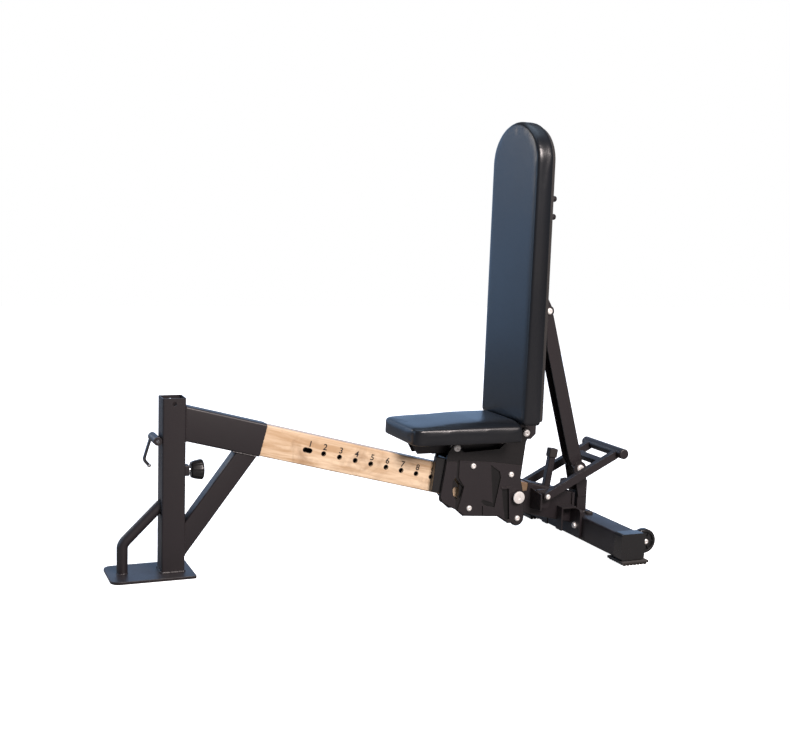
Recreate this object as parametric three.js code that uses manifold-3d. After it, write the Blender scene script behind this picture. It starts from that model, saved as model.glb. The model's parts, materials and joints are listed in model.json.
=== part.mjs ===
// Adjustable weight bench: a seat and backrest on a carriage that rolls along a sloped, numbered rail.
// Millimetres, +Z up. -X is the foot end with the post, +X the wheel end, -Y the sitter's left side.
// The bench is drawn from the centre of the post's foot, then centred over the floor.
import * as THREE from 'three';
import { mergeVertices } from 'three/addons/utils/BufferGeometryUtils.js';
import Module from 'manifold-3d';

const wasm = await Module();
wasm.setup();

// Driving dimensions
const gap = 0.3;               // air between pieces that touch
const railSlope = 14.24 * Math.PI / 180;
const holeOne = [381.5, 330.3];       // centre of the rail's first hole, in x and z
const holePitch = 50;
const holeCount = 15;
const holeRadius = 6;
const rail = { width: 50, height: 90, wall: 3, corner: 5, start: -170 };
const neck = { width: 54.6, height: 94.6, wall: 2, corner: 6, end: -135.7 };
const post = { size: 64, wall: 3, corner: 5, top: 491, socketHole: 476 };
const base = { front: -174, rear: 56, width: 159, thickness: 8 };
const beam = { x: 1302, size: 75, bottom: 15.3, halfLength: 306, wall: 3, corner: 6 };
const boot = { size: 81, length: 40, wall: 4.5 };      // rubber boot over each end of the beam
const footPad = { length: 94, width: 84, height: 12, rearward: 6, outward: 9 };
const wheel = { x: 1380, y: 247, z: 51, radius: 37, width: 25, axle: 5 };
const plate = { inner: 48, outer: 54, raised: 57 };    // each carriage side plate, outwards from the middle
const roller = { topRadius: 17, bottomRadius: 19, halfWidth: 24, clearance: 0.4 };
const topRollers = [511.6, 645];             // along the rail from the first hole
const bottomRollers = [534.6, 705.4];
const lockPin = { along: 686, boss: 60, head: 19, shank: 5.5, pull: 5.5 };
const lastSlot = 693;                        // middle of the rail's last, slotted hole
const hinge = [1069.5, 357.3];               // backrest hinge, in x and z
const strutTop = [1144, 726];
const strutFoot = [1283, 231];
const seatBolt = [838, 322];
const armPivot = [1135, 163];
const gripCentre = [1387, 288];
const knobHeight = 286;
const latch = { z: 375, radius: 12, near: -32, far: 50, wire: 4.2 };
const backrest = { front: 1016, boardFront: 1066.8, rear: 1078, halfWidth: 141, bottom: 396, top: 1284 };
const seat = { front: 671, rear: 1013, frontHalf: 120, rearHalf: 132, top: 395, boardTop: 356, bottom: 346.3 };
const pegHeights = [1065, 1011];

const sides = { left: -1, right: 1 };

// Finishes
const finishes = {
  powderCoat: [0x1d1c1f, 0.55, 0.3],
  lacquer: [0xc39a6a, 0.4, 0.5],
  zinc: [0xd9dbdc, 0.3, 0.9],
  chrome: [0xe4e6e8, 0.15, 1],
  rubber: [0x141416, 0.85, 0],
  plastic: [0x101012, 0.35, 0],
  vinyl: [0x10161f, 0.45, 0],
  board: [0x2a2320, 0.8, 0],
};

function finish(name) {
  const [color, roughness, metalness] = finishes[name];
  return new THREE.MeshStandardMaterial({ color, roughness, metalness });
}

// Booleans: closed geometry to a solid and back
function toSolid(geometry) {
  const plain = geometry.clone();
  plain.deleteAttribute('normal');
  plain.deleteAttribute('uv');
  const merged = mergeVertices(plain, 1e-3);
  const corners = merged.index.array;
  const triangles = [];
  for (let i = 0; i < corners.length; i += 3) {
    const [a, b, c] = [corners[i], corners[i + 1], corners[i + 2]];
    if (a !== b && b !== c && c !== a) triangles.push(a, b, c);
  }
  return new wasm.Manifold(new wasm.Mesh({
    numProp: 3,
    vertProperties: new Float32Array(merged.attributes.position.array),
    triVerts: new Uint32Array(triangles),
  }));
}

function toGeometry(solid) {
  const mesh = solid.getMesh();
  const geometry = new THREE.BufferGeometry();
  geometry.setAttribute('position', new THREE.BufferAttribute(mesh.vertProperties, 3));
  geometry.setIndex(new THREE.BufferAttribute(mesh.triVerts, 1));
  geometry.computeVertexNormals();
  return geometry;
}

function cut(geometry, ...tools) {
  return toGeometry(tools.reduce((solid, tool) => solid.subtract(toSolid(tool)), toSolid(geometry)));
}

function join(...geometries) {
  const [first, ...rest] = geometries.map(toSolid);
  return toGeometry(rest.reduce((solid, next) => solid.add(next), first));
}

// Basic shapes
function block(x, y, z) {
  const [low, high] = [0, 1].map((i) => new THREE.Vector3(x[i], y[i], z[i]));
  const size = high.clone().sub(low);
  const middle = high.add(low).multiplyScalar(0.5);
  return new THREE.BoxGeometry(size.x, size.y, size.z).translate(middle.x, middle.y, middle.z);
}

function roundedRectangle(width, height, radius, target = new THREE.Shape()) {
  const [x, y] = [width / 2 - radius, height / 2 - radius];
  target.absarc(x, y, radius, 0, Math.PI / 2);
  target.absarc(-x, y, radius, Math.PI / 2, Math.PI);
  target.absarc(-x, -y, radius, Math.PI, 1.5 * Math.PI);
  target.absarc(x, -y, radius, 1.5 * Math.PI, 2 * Math.PI);
  target.closePath();
  return target;
}

function extrude(shape, depth, curveSegments = 4) {
  return new THREE.ExtrudeGeometry(shape, { depth, bevelEnabled: false, curveSegments });
}

// A rectangular tube standing on z = 0, open at both ends
function hollowBar(width, height, wall, corner, length) {
  const shape = roundedRectangle(width, height, corner);
  const [innerWidth, innerHeight, innerCorner] = [width - 2 * wall, height - 2 * wall, corner - wall + 0.6];
  shape.holes.push(roundedRectangle(innerWidth, innerHeight, innerCorner, new THREE.Path()));
  return extrude(shape, length, 3);
}

// Turns a bar that stands along z so that it lies along x, with its width across y and its height up z
function alongX(geometry) {
  const turn = new THREE.Matrix4().makeBasis(
    new THREE.Vector3(0, 1, 0), new THREE.Vector3(0, 0, 1), new THREE.Vector3(1, 0, 0));
  return geometry.applyMatrix4(turn);
}

// An outline drawn in x and z, made solid between two values of y
function sidePlate(shape, from, to, curveSegments = 6) {
  return extrude(shape, to - from, curveSegments).rotateX(Math.PI / 2).translate(0, to, 0);
}

function polygon(points) {
  return new THREE.Shape(points.map(([x, y]) => new THREE.Vector2(x, y)));
}

// A profile of [radius, height] pairs turned about the y axis
function turned(profile, segments = 16) {
  return new THREE.LatheGeometry(profile.map(([r, y]) => new THREE.Vector2(r, y)), segments);
}

function rod(radius, from, to, segments = 12) {
  return turned([[0, from], [radius, from], [radius, to], [0, to]], segments);
}

function sleeve(outer, inner, from, to, segments = 20) {
  return turned([[inner, from], [outer, from], [outer, to], [inner, to], [inner, from]], segments);
}

// A bolt along y with a domed head outside each end of the stack it clamps
function throughBolt(from, to, shank, head, headHeight) {
  return turned([
    [0, from - headHeight], [head * 0.7, from - headHeight], [head, from - headHeight * 0.5], [head, from],
    [shank, from], [shank, to],
    [head, to], [head, to + headHeight * 0.5], [head * 0.7, to + headHeight], [0, to + headHeight],
  ], 14);
}

function hexBolt(headRadius, headHeight, shank, length) {
  const head = new THREE.CylinderGeometry(headRadius, headRadius, headHeight, 6);
  return join(head.translate(0, headHeight / 2, 0), rod(shank, -length, 0.5));
}

// Frames of reference
const slopeSine = Math.sin(railSlope);
const slopeCosine = Math.cos(railSlope);

function onRail(along, up) {
  const x = holeOne[0] + along * slopeCosine + up * slopeSine;
  const z = holeOne[1] - along * slopeSine + up * slopeCosine;
  return [x, z];
}

const toRail = new THREE.Matrix4().makeTranslation(holeOne[0], 0, holeOne[1])
  .multiply(new THREE.Matrix4().makeRotationY(railSlope));
const fromRail = toRail.clone().invert();

function inRailFrame(geometry) {
  return geometry.applyMatrix4(fromRail);
}

const bench = new THREE.Group();
const wheelEnd = wheel.x + wheel.radius;
bench.position.x = -(base.front + wheelEnd) / 2;
const railFrame = new THREE.Group();
railFrame.applyMatrix4(toRail);
bench.add(railFrame);

function add(name, geometry, finishName, place = [0, 0, 0], parent = bench) {
  const mesh = new THREE.Mesh(geometry, finish(finishName));
  mesh.name = name;
  mesh.position.set(...place);
  parent.add(mesh);
  return mesh;
}

// Front post on its base plate
function addBasePlate() {
  const [front, rear, half] = [base.front, base.rear, base.width / 2];
  const [big, small] = [25, 8];
  const shape = new THREE.Shape();
  shape.absarc(rear - small, half - small, small, 0, Math.PI / 2);
  shape.absarc(front + big, half - big, big, Math.PI / 2, Math.PI);
  shape.absarc(front + big, -half + big, big, Math.PI, 1.5 * Math.PI);
  shape.absarc(rear - small, -half + small, small, 1.5 * Math.PI, 2 * Math.PI);
  shape.closePath();
  add('base_plate', extrude(shape, base.thickness, 5), 'powderCoat');
}

function addPost() {
  const foot = base.thickness + gap;
  const tube = hollowBar(post.size, post.size, post.wall, post.corner, post.top - foot).translate(0, 0, foot);
  const reach = post.size;
  const socketPin = rod(6.5, -reach, reach).translate(0, 0, post.socketHole);
  const plungerHole = rod(7, 0, reach).rotateZ(-Math.PI / 2).translate(0, 0, knobHeight);
  add('front_post', cut(tube, socketPin, plungerHole), 'powderCoat');
}

// Bent tube that the post end is lifted by
function addLiftBar() {
  const [x, cornerHeight, bend] = [-133, 89, 62];
  const foot = base.thickness + gap;
  const reach = -x - 10;
  const path = new THREE.CurvePath();
  const low = new THREE.Vector3(x, 0, cornerHeight - bend * 0.45);
  const high = new THREE.Vector3(x + bend * 0.32, 0, cornerHeight + bend * 0.32);
  path.add(new THREE.LineCurve3(new THREE.Vector3(x, 0, foot), low));
  path.add(new THREE.QuadraticBezierCurve3(low, new THREE.Vector3(x, 0, cornerHeight), high));
  path.add(new THREE.LineCurve3(high, new THREE.Vector3(x + reach, 0, cornerHeight + reach)));
  const circle = new THREE.Shape();
  circle.absarc(0, 0, 13.5, 0, 2 * Math.PI);
  const sweep = { steps: 22, extrudePath: path, bevelEnabled: false, curveSegments: 6 };
  const tube = new THREE.ExtrudeGeometry(circle, sweep);
  const postSpace = block([-post.size / 2 - gap, 200], [-99, 99], [0, 400]);
  add('lift_bar', cut(tube, postSpace), 'powderCoat');
}

// Sprung pull knob on the post
function addKnob() {
  const face = post.size / 2 + gap;
  const toPost = (geometry) => geometry.rotateZ(-Math.PI / 2).translate(0, 0, knobHeight);
  const collar = alongX(extrude(roundedRectangle(29, 29, 2), 13.7, 3)).translate(face, 0, knobHeight);
  add('knob_collar', cut(collar, toPost(rod(6.4, 0, 99))), 'powderCoat');
  const plunger = turned([
    [0, 2], [10, 2], [10, 5], [6, 5], [6, 46.6], [9, 46.6], [9, 51.5], [6, 51.5], [6, 74], [0, 74],
  ]);
  add('knob_pin', toPost(plunger), 'chrome');
  const [lobes, radius, depth] = [8, 27.2, 1.3];
  const outline = [];
  const points = lobes * 6;
  for (let i = 0; i < points; i += 1) {
    const angle = 2 * Math.PI * i / points;
    const r = radius + depth * Math.cos(lobes * angle);
    outline.push([r * Math.cos(angle), r * Math.sin(angle)]);
  }
  const head = alongX(extrude(polygon(outline), 35)).translate(52, 0, knobHeight);
  add('post_knob', cut(head, toPost(rod(6.3, 40, 74.3))), 'plastic');
  addKnobSpring(toPost);
}

function addKnobSpring(toPost) {
  const [turns, coilRadius, wire, first, last] = [4, 8.3, 0.9, 18.5, 27.6];
  class Helix extends THREE.Curve {
    getPoint(t) {
      const angle = 2 * Math.PI * turns * t;
      const height = first + (last - first) * t;
      return new THREE.Vector3(coilRadius * Math.cos(angle), height, coilRadius * Math.sin(angle));
    }
  }
  const circle = new THREE.Shape();
  circle.absarc(0, 0, wire, 0, 2 * Math.PI);
  const shape = { steps: turns * 10, extrudePath: new Helix(), bevelEnabled: false, curveSegments: 2 };
  add('knob_spring', toPost(new THREE.ExtrudeGeometry(circle, shape)), 'zinc');
}

// Barrel on the post with a bent lever through it
function addLatch() {
  const x = -post.size / 2 - gap - latch.radius;
  const { near, far } = latch;
  add('latch_barrel', sleeve(latch.radius, 5.3, near, far), 'powderCoat', [x, 0, latch.z]);
  const shaft = turned([
    [0, near - 5], [4, near - 5], [5.6, near - 3.6], [5.6, near - 2], [8, near - 1.6], [8, near - 0.4],
    [5, near - 0.4], [5, far + 0.4], [8, far + 0.4], [8, far + 6], [5, far + 6], [5, far + 15], [0, far + 15],
  ]);
  const bends = [[0, 0], [-4.5, -14], [-11.5, -37], [-17.6, -59], [-17.6, -68], [-12.5, -76], [-5, -85]];
  const path = new THREE.CatmullRomCurve3(bends.map(([x, z]) => new THREE.Vector3(x, far + 10.6, z)));
  const circle = new THREE.Shape();
  circle.absarc(0, 0, latch.wire, 0, 2 * Math.PI);
  const sweep = { steps: 18, extrudePath: path, bevelEnabled: false, curveSegments: 4 };
  add('latch_lever', join(shaft, new THREE.ExtrudeGeometry(circle, sweep)), 'chrome', [x, 0, latch.z]);
}

// Sloped rail, the sleeve that joins it to the post, and the brace under the sleeve
function addRail() {
  const postFace = post.size / 2 + gap;
  const neckStart = -(holeOne[0] - postFace) / slopeCosine - 40;
  const neckTube = alongX(hollowBar(neck.width, neck.height, neck.wall, neck.corner, neck.end - neckStart))
    .translate(neckStart, 0, 0);
  const postSpace = inRailFrame(block([-300, postFace], [-99, 99], [0, 700]));
  add('rail_neck', cut(neckTube, postSpace), 'powderCoat', [0, 0, 0], railFrame);

  const railLength = 1120;
  const railTube = alongX(hollowBar(rail.width, rail.height, rail.wall, rail.corner, railLength))
    .translate(rail.start, 0, 0);
  const slot = sidePlate(roundedRectangle(29, 2 * holeRadius, holeRadius - 0.01), -99, 99, 4);
  const holes = [slot, slot.clone().translate(lastSlot, 0, 0)];
  for (let i = 1; i < holeCount - 1; i += 1) {
    holes.push(rod(holeRadius, -99, 99).translate(i * holePitch, 0, 0));
  }
  const flangeFace = beam.x - beam.size / 2 - 8.5 - gap;
  const beamSpace = inRailFrame(block([flangeFace, 1700], [-99, 99], [-200, 400]));
  add('slide_rail', cut(railTube, beamSpace, ...holes), 'lacquer', [0, 0, 0], railFrame);

  const [low, high] = [[postFace, 95], [207.5, 330]];
  const angle = Math.atan2(high[1] - low[1], high[0] - low[0]);
  const braceTube = alongX(hollowBar(46, 57, 3, 5, 480)).translate(-90, 0, 0)
    .rotateY(-angle).translate(low[0], 0, low[1]);
  const postCut = block([-300, postFace], [-99, 99], [-100, 700]);
  const neckCut = block([-900, 900], [-99, 99], [-neck.height / 2 - gap, 400]).applyMatrix4(toRail);
  add('neck_brace', cut(braceTube, postCut, neckCut), 'powderCoat');
}

// Hub on the rail's rear end with the handle's wings and the brackets towards the crossbeam
function addRearHub() {
  const flangeFace = beam.x - beam.size / 2 - 8.5 - gap;
  const hubTube = alongX(hollowBar(57, 97, 3.2, 6, 400)).translate(732, 0, 0).applyMatrix4(toRail);
  const pieces = [];
  for (const side of Object.values(sides)) {
    const across = (from, to) => [side * from, side * to].sort((a, b) => a - b);
    const frontWing = polygon([[28, 116], [94, 122], [94, 172], [28, 181]].map(([y, z]) => [side * y, z]));
    const wingPlate = alongX(extrude(frontWing, 5)).translate(1108, 0, 0);
    const cheek = new THREE.Shape();
    cheek.moveTo(1110, 124);
    cheek.lineTo(1150, 124);
    cheek.absarc(armPivot[0] + 8, armPivot[1], 20, -0.5, Math.PI / 2, false);
    cheek.lineTo(1110, 181);
    cheek.closePath();
    const [from, to] = across(62, 68);
    const skirt = polygon([[1066, 118], [1112, 118], [1112, 196], [1100, 196], [1097, 172], [1070, 168]]);
    pieces.push(wingPlate, sidePlate(cheek, from, to), sidePlate(skirt, ...across(25, 28.5)));
    pieces.push(block([1205, 1210], across(27.8, 60), [44, 118]));
    pieces.push(block([1205, flangeFace], across(27.8, 60), [113, 118]));
  }
  const [halfWidth, halfHeight] = [rail.width / 2 + gap, rail.height / 2 + gap];
  const railSpace = block([0, 900], [-halfWidth, halfWidth], [-halfHeight, halfHeight]).applyMatrix4(toRail);
  const beamSpace = block([flangeFace, 1800], [-200, 200], [-300, 500]);
  const pivotBore = rod(5.3, -99, 99).translate(armPivot[0], 0, armPivot[1]);
  add('rear_hub', cut(join(hubTube, ...pieces), railSpace, beamSpace, pivotBore), 'powderCoat');

  const flange = polygon([
    [-85, 24], [85, 24], [85, 106], [79, 112], [34, 112],
    [34, 156], [-34, 156], [-34, 112], [-79, 112], [-85, 106],
  ]);
  const flangePlate = alongX(extrude(flange, 8.2)).translate(flangeFace + gap, 0, 0);
  const boltPlace = [flangeFace - gap, 58, 58];
  const bores = Object.values(sides).map((side) => rod(5.4, -40, 40).rotateZ(Math.PI / 2)
    .translate(boltPlace[0], side * boltPlace[1], boltPlace[2]));
  add('rear_flange', cut(flangePlate, ...bores), 'powderCoat');
  for (const [name, side] of Object.entries(sides)) {
    const bolt = hexBolt(9, 7, 5, 8.4).rotateZ(Math.PI / 2);
    add(`flange_bolt_${name}`, bolt, 'zinc', [flangeFace, side * boltPlace[1], boltPlace[2]]);
  }
}

// Crossbeam with its end plugs, foot pads and transport wheels
function addCrossbeam() {
  const middle = beam.bottom + beam.size / 2;
  const tube = hollowBar(beam.size, beam.size, beam.wall, beam.corner, 2 * beam.halfLength)
    .translate(0, 0, -beam.halfLength).rotateX(Math.PI / 2).translate(beam.x, 0, middle);
  const face = beam.x + beam.size / 2;
  const brackets = Object.values(sides).map((side) => {
    const arm = new THREE.Shape();
    arm.moveTo(face - 2, 30);
    arm.lineTo(wheel.x, wheel.z - 13);
    arm.absarc(wheel.x, wheel.z, 13, -Math.PI / 2, Math.PI / 2, false);
    arm.lineTo(face - 2, 76);
    arm.closePath();
    const inner = wheel.y - wheel.width / 2 - 0.8;
    const [from, to] = [side * (inner - 5), side * inner].sort((a, b) => a - b);
    return sidePlate(arm, from, to);
  });
  const axleBore = rod(5.3, -330, 330).translate(wheel.x, 0, wheel.z);
  add('crossbeam', cut(join(tube, ...brackets), axleBore), 'powderCoat');
  for (const [name, side] of Object.entries(sides)) addBeamEnd(name, side, middle);
}

function addBeamEnd(name, side, middle) {
  const end = beam.halfLength + gap;
  const inside = beam.size + 2 * gap;
  const shell = extrude(roundedRectangle(boot.size, boot.size - 2, beam.corner + 2), boot.length)
    .translate(0, -side, end + boot.wall - boot.length);
  const beamSpace = extrude(roundedRectangle(inside, inside, beam.corner), boot.length)
    .translate(0, 0, end - boot.length);
  const cap = cut(shell, beamSpace).rotateX(side > 0 ? -Math.PI / 2 : Math.PI / 2);
  add(`end_plug_${name}`, cap, 'plastic', [beam.x, 0, middle]);

  const pad = extrude(roundedRectangle(footPad.length, footPad.width, 5), footPad.height);
  const padY = side * (end + boot.wall + footPad.outward - footPad.width / 2);
  add(`foot_pad_${name}`, pad, 'rubber', [beam.x + footPad.rearward, padY, 0]);

  const [half, r] = [wheel.width / 2, wheel.radius];
  const tyre = turned([
    [5.6, -half], [14, -half], [16, -half + 3], [27, -half + 3], [r - 3, -half], [r, -half + 3],
    [r, half - 3], [r - 3, half], [27, half - 3], [16, half - 3], [14, half], [5.6, half], [5.6, -half],
  ], 24);
  add(`wheel_${name}`, tyre, 'plastic', [wheel.x, side * wheel.y, wheel.z]);
  const [inner, outer] = [half + 0.8 + 5.3, half + 0.6];
  const [from, to] = side > 0 ? [-inner, outer] : [-outer, inner];
  const axle = throughBolt(from, to, wheel.axle, 8, 5);
  add(`wheel_axle_${name}`, axle, 'zinc', [wheel.x, side * wheel.y, wheel.z]);
}

// Upright with its clevis ears and web plate, and the strut's lower bolt
function addUpright() {
  const foot = beam.bottom + beam.size + gap;
  const [front, rear] = [1280, 1315];
  const tube = hollowBar(rear - front, 50, 3, 4, 192 - foot).translate((front + rear) / 2, 0, foot);
  const pieces = [tube];
  const earShape = new THREE.Shape();
  earShape.moveTo(front + 2, 140);
  earShape.lineTo(rear - 3, 140);
  earShape.lineTo(strutFoot[0] + 22, strutFoot[1]);
  earShape.absarc(strutFoot[0], strutFoot[1], 22, 0, Math.PI, false);
  earShape.closePath();
  for (const side of Object.values(sides)) {
    const [from, to] = [side * 22.3, side * 28].sort((a, b) => a - b);
    pieces.push(sidePlate(earShape, from, to));
  }
  const web = polygon([
    [1228, 168], [1266, 158.6], [front + 2, 158.6], [front + 2, 186], [1250, 198], [1232, 196],
  ]);
  pieces.push(sidePlate(web, -4, 4));
  const bore = rod(5.4, -60, 60).translate(strutFoot[0], 0, strutFoot[1]);
  add('upright', cut(join(...pieces), bore), 'powderCoat');
  add('strut_foot_bolt', throughBolt(-28.4, 28.4, 5, 12, 6), 'zinc', [strutFoot[0], 0, strutFoot[1]]);
}

// Post on the hub that the strut's channel comes down over
function addStopPost() {
  const lean = 9 * Math.PI / 180;
  const foot = [1174, 150];
  const length = 118;
  const tube = hollowBar(21, 21, 2.5, 3.5, length).rotateY(lean).translate(foot[0], 0, foot[1]);
  const hubTop = block([600, 1100], [-99, 99], [-60, 48.5 + gap]).applyMatrix4(toRail);
  add('stop_post', cut(tube, hubTop), 'powderCoat');
  const cap = extrude(roundedRectangle(28, 28, 5), 28).translate(0, 0, length + gap)
    .rotateY(lean).translate(foot[0], 0, foot[1]);
  add('stop_cap', cap, 'rubber');
}

// Lift handle behind the upright
function addHandle() {
  const dx = gripCentre[0] - armPivot[0];
  const dz = gripCentre[1] - armPivot[1];
  const angle = Math.atan2(dz, dx);
  const reach = Math.hypot(dx, dz);
  const handleFrame = new THREE.Group();
  handleFrame.position.set(armPivot[0], 0, armPivot[1]);
  handleFrame.rotation.y = -angle;
  bench.add(handleFrame);
  const half = 12;
  const [armIn, armOut] = [68.5, 88.5];
  const outline = new THREE.Shape();
  outline.absarc(0, 0, half, Math.PI / 2, 1.5 * Math.PI, false);
  outline.lineTo(reach + 4, -half);
  outline.lineTo(reach + 4, half);
  outline.closePath();
  const barSpace = rod(16 + gap, -200, 200, 32).translate(reach, 0, 0);
  const beyond = block([reach, reach + 40], [-200, 200], [-40, 40]);
  for (const [name, side] of Object.entries(sides)) {
    const [from, to] = [side * armIn, side * armOut].sort((a, b) => a - b);
    const bore = rod(5.3, -200, 200);
    const arm = cut(sidePlate(outline, from, to), barSpace, beyond, bore);
    add(`handle_arm_${name}`, arm, 'powderCoat', [0, 0, 0], handleFrame);
    const [boltFrom, boltTo] = side > 0 ? [61.4, 88.8] : [-88.8, -61.4];
    const bolt = throughBolt(boltFrom, boltTo, 5, 8, 5.5);
    add(`handle_bolt_${name}`, bolt, 'zinc', [0, 0, 0], handleFrame);
  }
  const crossbar = hollowBar(22, 22, 2.5, 4, 2 * (armIn - gap))
    .translate(0, 0, -armIn + gap).rotateX(Math.PI / 2);
  add('handle_crossbar', crossbar, 'powderCoat', [215, 0, 0], handleFrame);
  const barHalf = 113;
  const bar = turned([[0, -barHalf], [14, -barHalf], [16, -barHalf + 2], [16, barHalf - 2], [14, barHalf],
    [0, barHalf]], 24);
  add('handle_bar', bar, 'powderCoat', [reach, 0, 0], handleFrame);
}

// Prop strut: a channel, open towards the foot end, between its two pivots
function addStrut() {
  const dx = strutTop[0] - strutFoot[0];
  const dz = strutTop[1] - strutFoot[1];
  const length = Math.hypot(dx, dz);
  const strutFrame = new THREE.Group();
  strutFrame.position.set(strutFoot[0], 0, strutFoot[1]);
  strutFrame.rotation.y = Math.atan2(dx, dz);
  bench.add(strutFrame);
  const [rear, front, slim, half] = [15, 28, 12, 21.9];
  const outline = new THREE.Shape();
  outline.absarc(0, 0, rear, Math.PI, 2 * Math.PI, false);
  outline.lineTo(rear, length - 20);
  outline.lineTo(slim, length);
  outline.absarc(0, length, slim, 0, Math.PI, false);
  outline.lineTo(-slim, length - 30);
  outline.lineTo(-front, length - 110);
  outline.lineTo(-front, 40);
  outline.closePath();
  const inside = block([-99, rear - 4], [-half + 4, half - 4], [-99, length + 99]);
  const lowerFork = block([0, 99], [-half + 4, half - 4], [-99, 26]);
  const bores = [0, length].map((z) => rod(5.4, -60, 60).translate(0, 0, z));
  add('strut', cut(sidePlate(outline, -half, half, 8), inside, lowerFork, ...bores), 'powderCoat', [0, 0, 0],
    strutFrame);
}

// Carriage side plate: lobes round its bolts and a rolled front edge
function rearLobe() {
  return onRail(bottomRollers[1], -rail.height / 2 - roller.clearance - roller.bottomRadius);
}

function carriageOutline() {
  const lobe = rearLobe();
  const shape = new THREE.Shape();
  shape.moveTo(981, 312);
  shape.lineTo(865, 307);
  shape.lineTo(seatBolt[0] + 14, seatBolt[1] - 8);
  shape.absarc(seatBolt[0], seatBolt[1], 14, -0.4, Math.PI * 0.9, false);
  shape.lineTo(812, 311);
  shape.lineTo(804, 283);
  shape.lineTo(787, 176);
  shape.quadraticCurveTo(785, 164, 794, 159);
  shape.lineTo(843, 132);
  shape.lineTo(865, 113);
  shape.lineTo(982, 104);
  shape.lineTo(1018, 80);
  shape.absarc(lobe[0], lobe[1], 24, 1.2 * Math.PI, 2 * Math.PI, false);
  shape.lineTo(1073, 150);
  shape.lineTo(1057, 219);
  shape.lineTo(1070, 330);
  shape.absarc(hinge[0], hinge[1], 16, -Math.PI * 0.35, Math.PI * 0.75, false);
  shape.lineTo(1040, 345);
  shape.lineTo(998, 328);
  shape.closePath();
  return shape;
}

// The plate's pressed relief: the raised panel, then the shapes sunk into it
function raisedOutline() {
  const lobe = rearLobe();
  const shape = new THREE.Shape();
  shape.moveTo(847, 284);
  shape.lineTo(847, 231);
  shape.lineTo(866, 203);
  shape.lineTo(857, 168);
  shape.lineTo(847, 133);
  shape.lineTo(868, 117);
  shape.lineTo(984, 108);
  shape.lineTo(1020, 84);
  shape.absarc(lobe[0], lobe[1], 20, 1.2 * Math.PI, 2 * Math.PI, false);
  shape.lineTo(1068, 150);
  shape.lineTo(1053, 219);
  shape.lineTo(1057, 258);
  shape.lineTo(952, 274);
  shape.closePath();
  return shape;
}

const frontLip = polygon([
  [806, 283], [838, 281], [838, 236], [826, 222], [825, 198], [829, 176], [838, 164], [838, 137], [796, 161],
  [789, 176],
]);
const sunkenPanel = polygon([
  [952, 266], [984, 243], [988, 223], [970, 133], [938, 141], [923, 154], [930, 160], [963, 148],
]);
const seam = polygon([[927, 141], [931, 141], [932, 105], [928, 105]]);
const bossHollow = polygon([[993, 188], [1017, 190], [1019, 150], [1023, 92], [1008, 93], [999, 139]]);
const hookOpening = polygon([
  [830.5, 226.7], [835.5, 232.5], [848, 218.2], [864.5, 202], [856, 172], [844.7, 163.4], [831.5, 178],
  [828.7, 196.4], [834.7, 203], [845.5, 203], [845, 209],
]);

// The right plate stops short in front, where the left one has its rolled lip
const farNotch = polygon([[770, 60], [846, 60], [846, 138], [818, 172], [818, 285], [770, 285]]);

function rollerAxles() {
  const top = rail.height / 2 + roller.clearance + roller.topRadius;
  const bottom = rail.height / 2 + roller.clearance + roller.bottomRadius;
  return {
    top_front: [onRail(topRollers[0], top), roller.topRadius],
    top_rear: [onRail(topRollers[1], top), roller.topRadius],
    bottom_front: [onRail(bottomRollers[0], -bottom), roller.bottomRadius],
    bottom_rear: [onRail(bottomRollers[1], -bottom), roller.bottomRadius],
  };
}

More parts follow.
